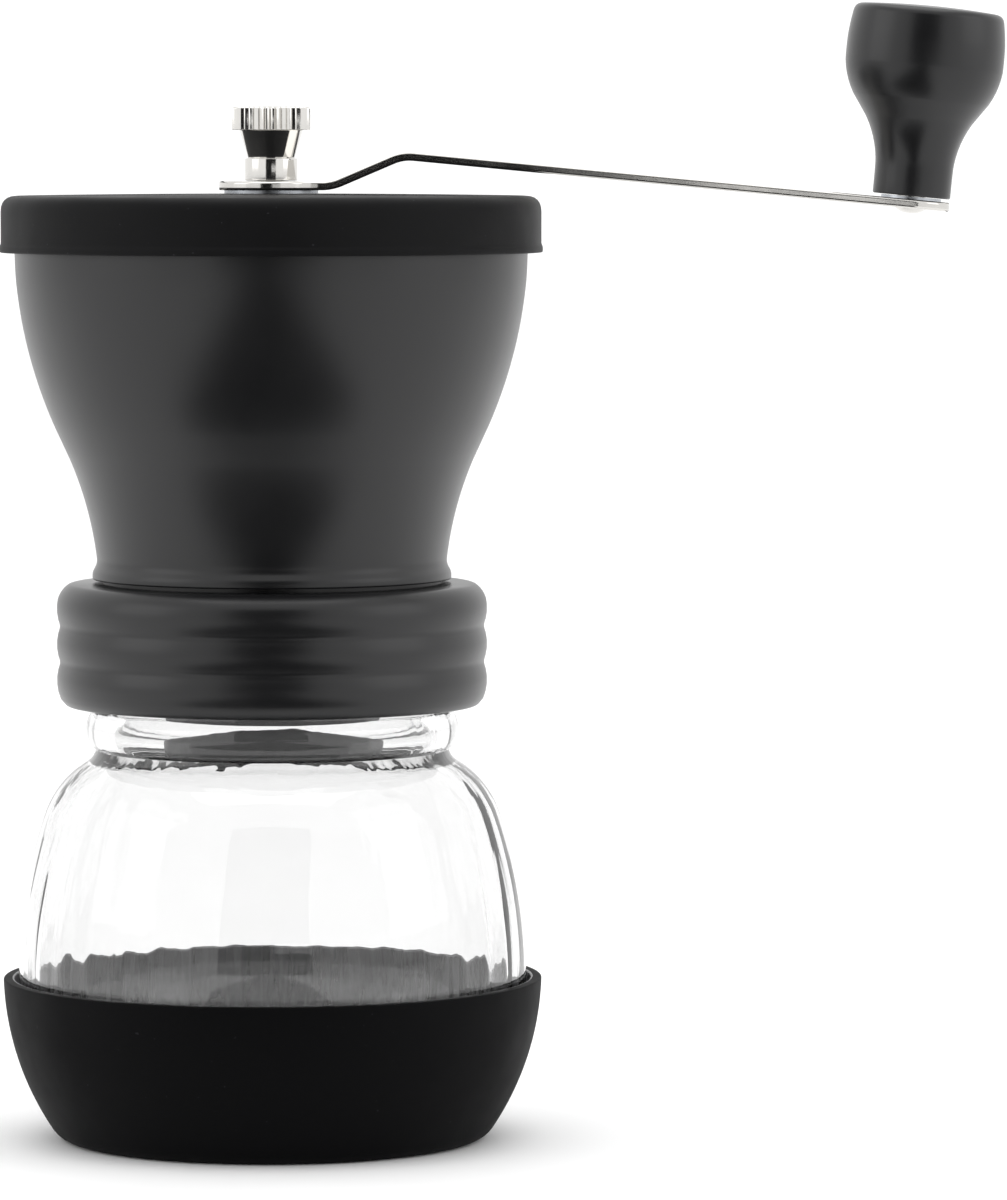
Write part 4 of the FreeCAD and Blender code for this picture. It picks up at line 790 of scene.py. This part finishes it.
for share, depth in ((0, KNURL_DEPTH), (knurl_flank, KNURL_DEPTH / 2), (-knurl_flank, KNURL_DEPTH / 2)):
    mesh = bmesh.from_edit_mesh(thumb_nut.data)
    for vertex in mesh.verts:
        turns = math.atan2(vertex.co.y, vertex.co.x) / math.tau * KNURLS - share
        on_line = abs(turns - round(turns)) < 0.05
        on_rim = math.hypot(vertex.co.x, vertex.co.y) > (NUT_HEAD_R - 0.5) * MM
        vertex.select = on_line and on_rim
    mesh.select_flush_mode()
    factor = 1 - depth / NUT_HEAD_R
    bpy.ops.transform.resize(value=(factor, factor, 1), center_override=(0, 0, 0))
close_mesh(thumb_nut)
bpy.ops.object.shade_smooth_by_angle(angle=math.radians(20))
# Nickel on turned brass: mirror bright and neutral, with very fine rings.
nickel = turned_metal("brass_nickel_plated", ("cfcdc9", "dedcd8"), (0.06, 0.14), 0.15, 0.002)
dress(thumb_nut, nickel, "nut", "polished_steel", "thumb_nut")

# Table
# A pale matt board, painted, that everything stands on.

bpy.ops.object.select_all(action="DESELECT")
bpy.ops.mesh.primitive_circle_add(vertices=96, radius=6, fill_type="NGON", location=(0, 0, 0))
table = bpy.context.object
table.name = "table_top"
paint = moulded("white_paint_matt", ("f4f4f4", "f8f8f8"), (0.7, 0.8), 60, 1.0, 0.01, {"IOR": 1.5})
table.data.materials.append(paint)

# Studio
# An even white surround, a broad soft light over the top with a weak one at each side, and dark cloth
# screens that draw the dark middle of every shiny surface. The tall one behind the camera has a window
# on the right, at the crank's height, which keeps the end of the arm bright.

world = bpy.data.worlds.new("white_surround")
bpy.context.scene.world = world
world.use_nodes = True
world.node_tree.nodes["Background"].inputs["Color"].default_value = srgb("ffffff")
world.node_tree.nodes["Background"].inputs["Strength"].default_value = 1.15

screen_cloth = moulded("black_cloth", ("050505", "080808"), (0.9, 0.95), 20, 1.0, 0.05, {"IOR": 1.4})


def dark_screen(name, low, high):
    """A cloth screen that is seen only in reflections."""
    screen = block(low, high, 0.3)
    screen.name = name
    screen.data.materials.append(screen_cloth)
    screen.visible_camera = False
    screen.visible_diffuse = False
    screen.visible_transmission = False
    screen.visible_shadow = False


SCREEN_NEAR = -1550
SCREEN_FAR = -1560
SCREEN_HALF_WIDTH = 620
SCREEN_FOOT = -400
SCREEN_TOP = 1300
WINDOW_LEFT = 95
WINDOW_LOW = 138
WINDOW_HIGH = 205
dark_screen("tall_screen", (-SCREEN_HALF_WIDTH, SCREEN_FAR, SCREEN_FOOT),
            (WINDOW_LEFT, SCREEN_NEAR, SCREEN_TOP))
dark_screen("upper_screen", (WINDOW_LEFT, SCREEN_FAR, WINDOW_HIGH),
            (SCREEN_HALF_WIDTH, SCREEN_NEAR, SCREEN_TOP))
dark_screen("lower_screen", (WINDOW_LEFT, SCREEN_FAR, SCREEN_FOOT),
            (SCREEN_HALF_WIDTH, SCREEN_NEAR, WINDOW_LOW))
dark_screen("floor_screen", (-140, -1400, 1), (140, -120, 3))


def soft_light(name, place, size, power):
    """A square light that faces the middle of the object."""
    bpy.ops.object.light_add(type="AREA", location=place)
    lamp = bpy.context.object
    lamp.name = name
    lamp.data.size = size
    lamp.data.energy = power
    lamp.rotation_euler = (Vector((0, 0, 0.09)) - Vector(place)).to_track_quat("-Z", "Y").to_euler()


soft_light("top_light", (0, 0.1, 1.6), 1.4, 9)
soft_light("left_light", (-1.3, -0.4, 0.6), 0.9, 2)
soft_light("right_light", (1.3, -0.4, 0.6), 0.9, 2)

# Camera
# Level with the lid and a little above it, looking slightly down at the jar.

CAMERA_TILT = math.radians(3.64)
bpy.ops.object.camera_add(location=(0.040, -1.230, 0.1715), rotation=(math.pi / 2 - CAMERA_TILT, 0, 0))
camera = bpy.context.object
camera.data.sensor_fit = "VERTICAL"
camera.data.sensor_height = 36
camera.data.lens = 213.87
bpy.context.scene.camera = camera
bpy.context.scene.view_settings.view_transform = "Standard"
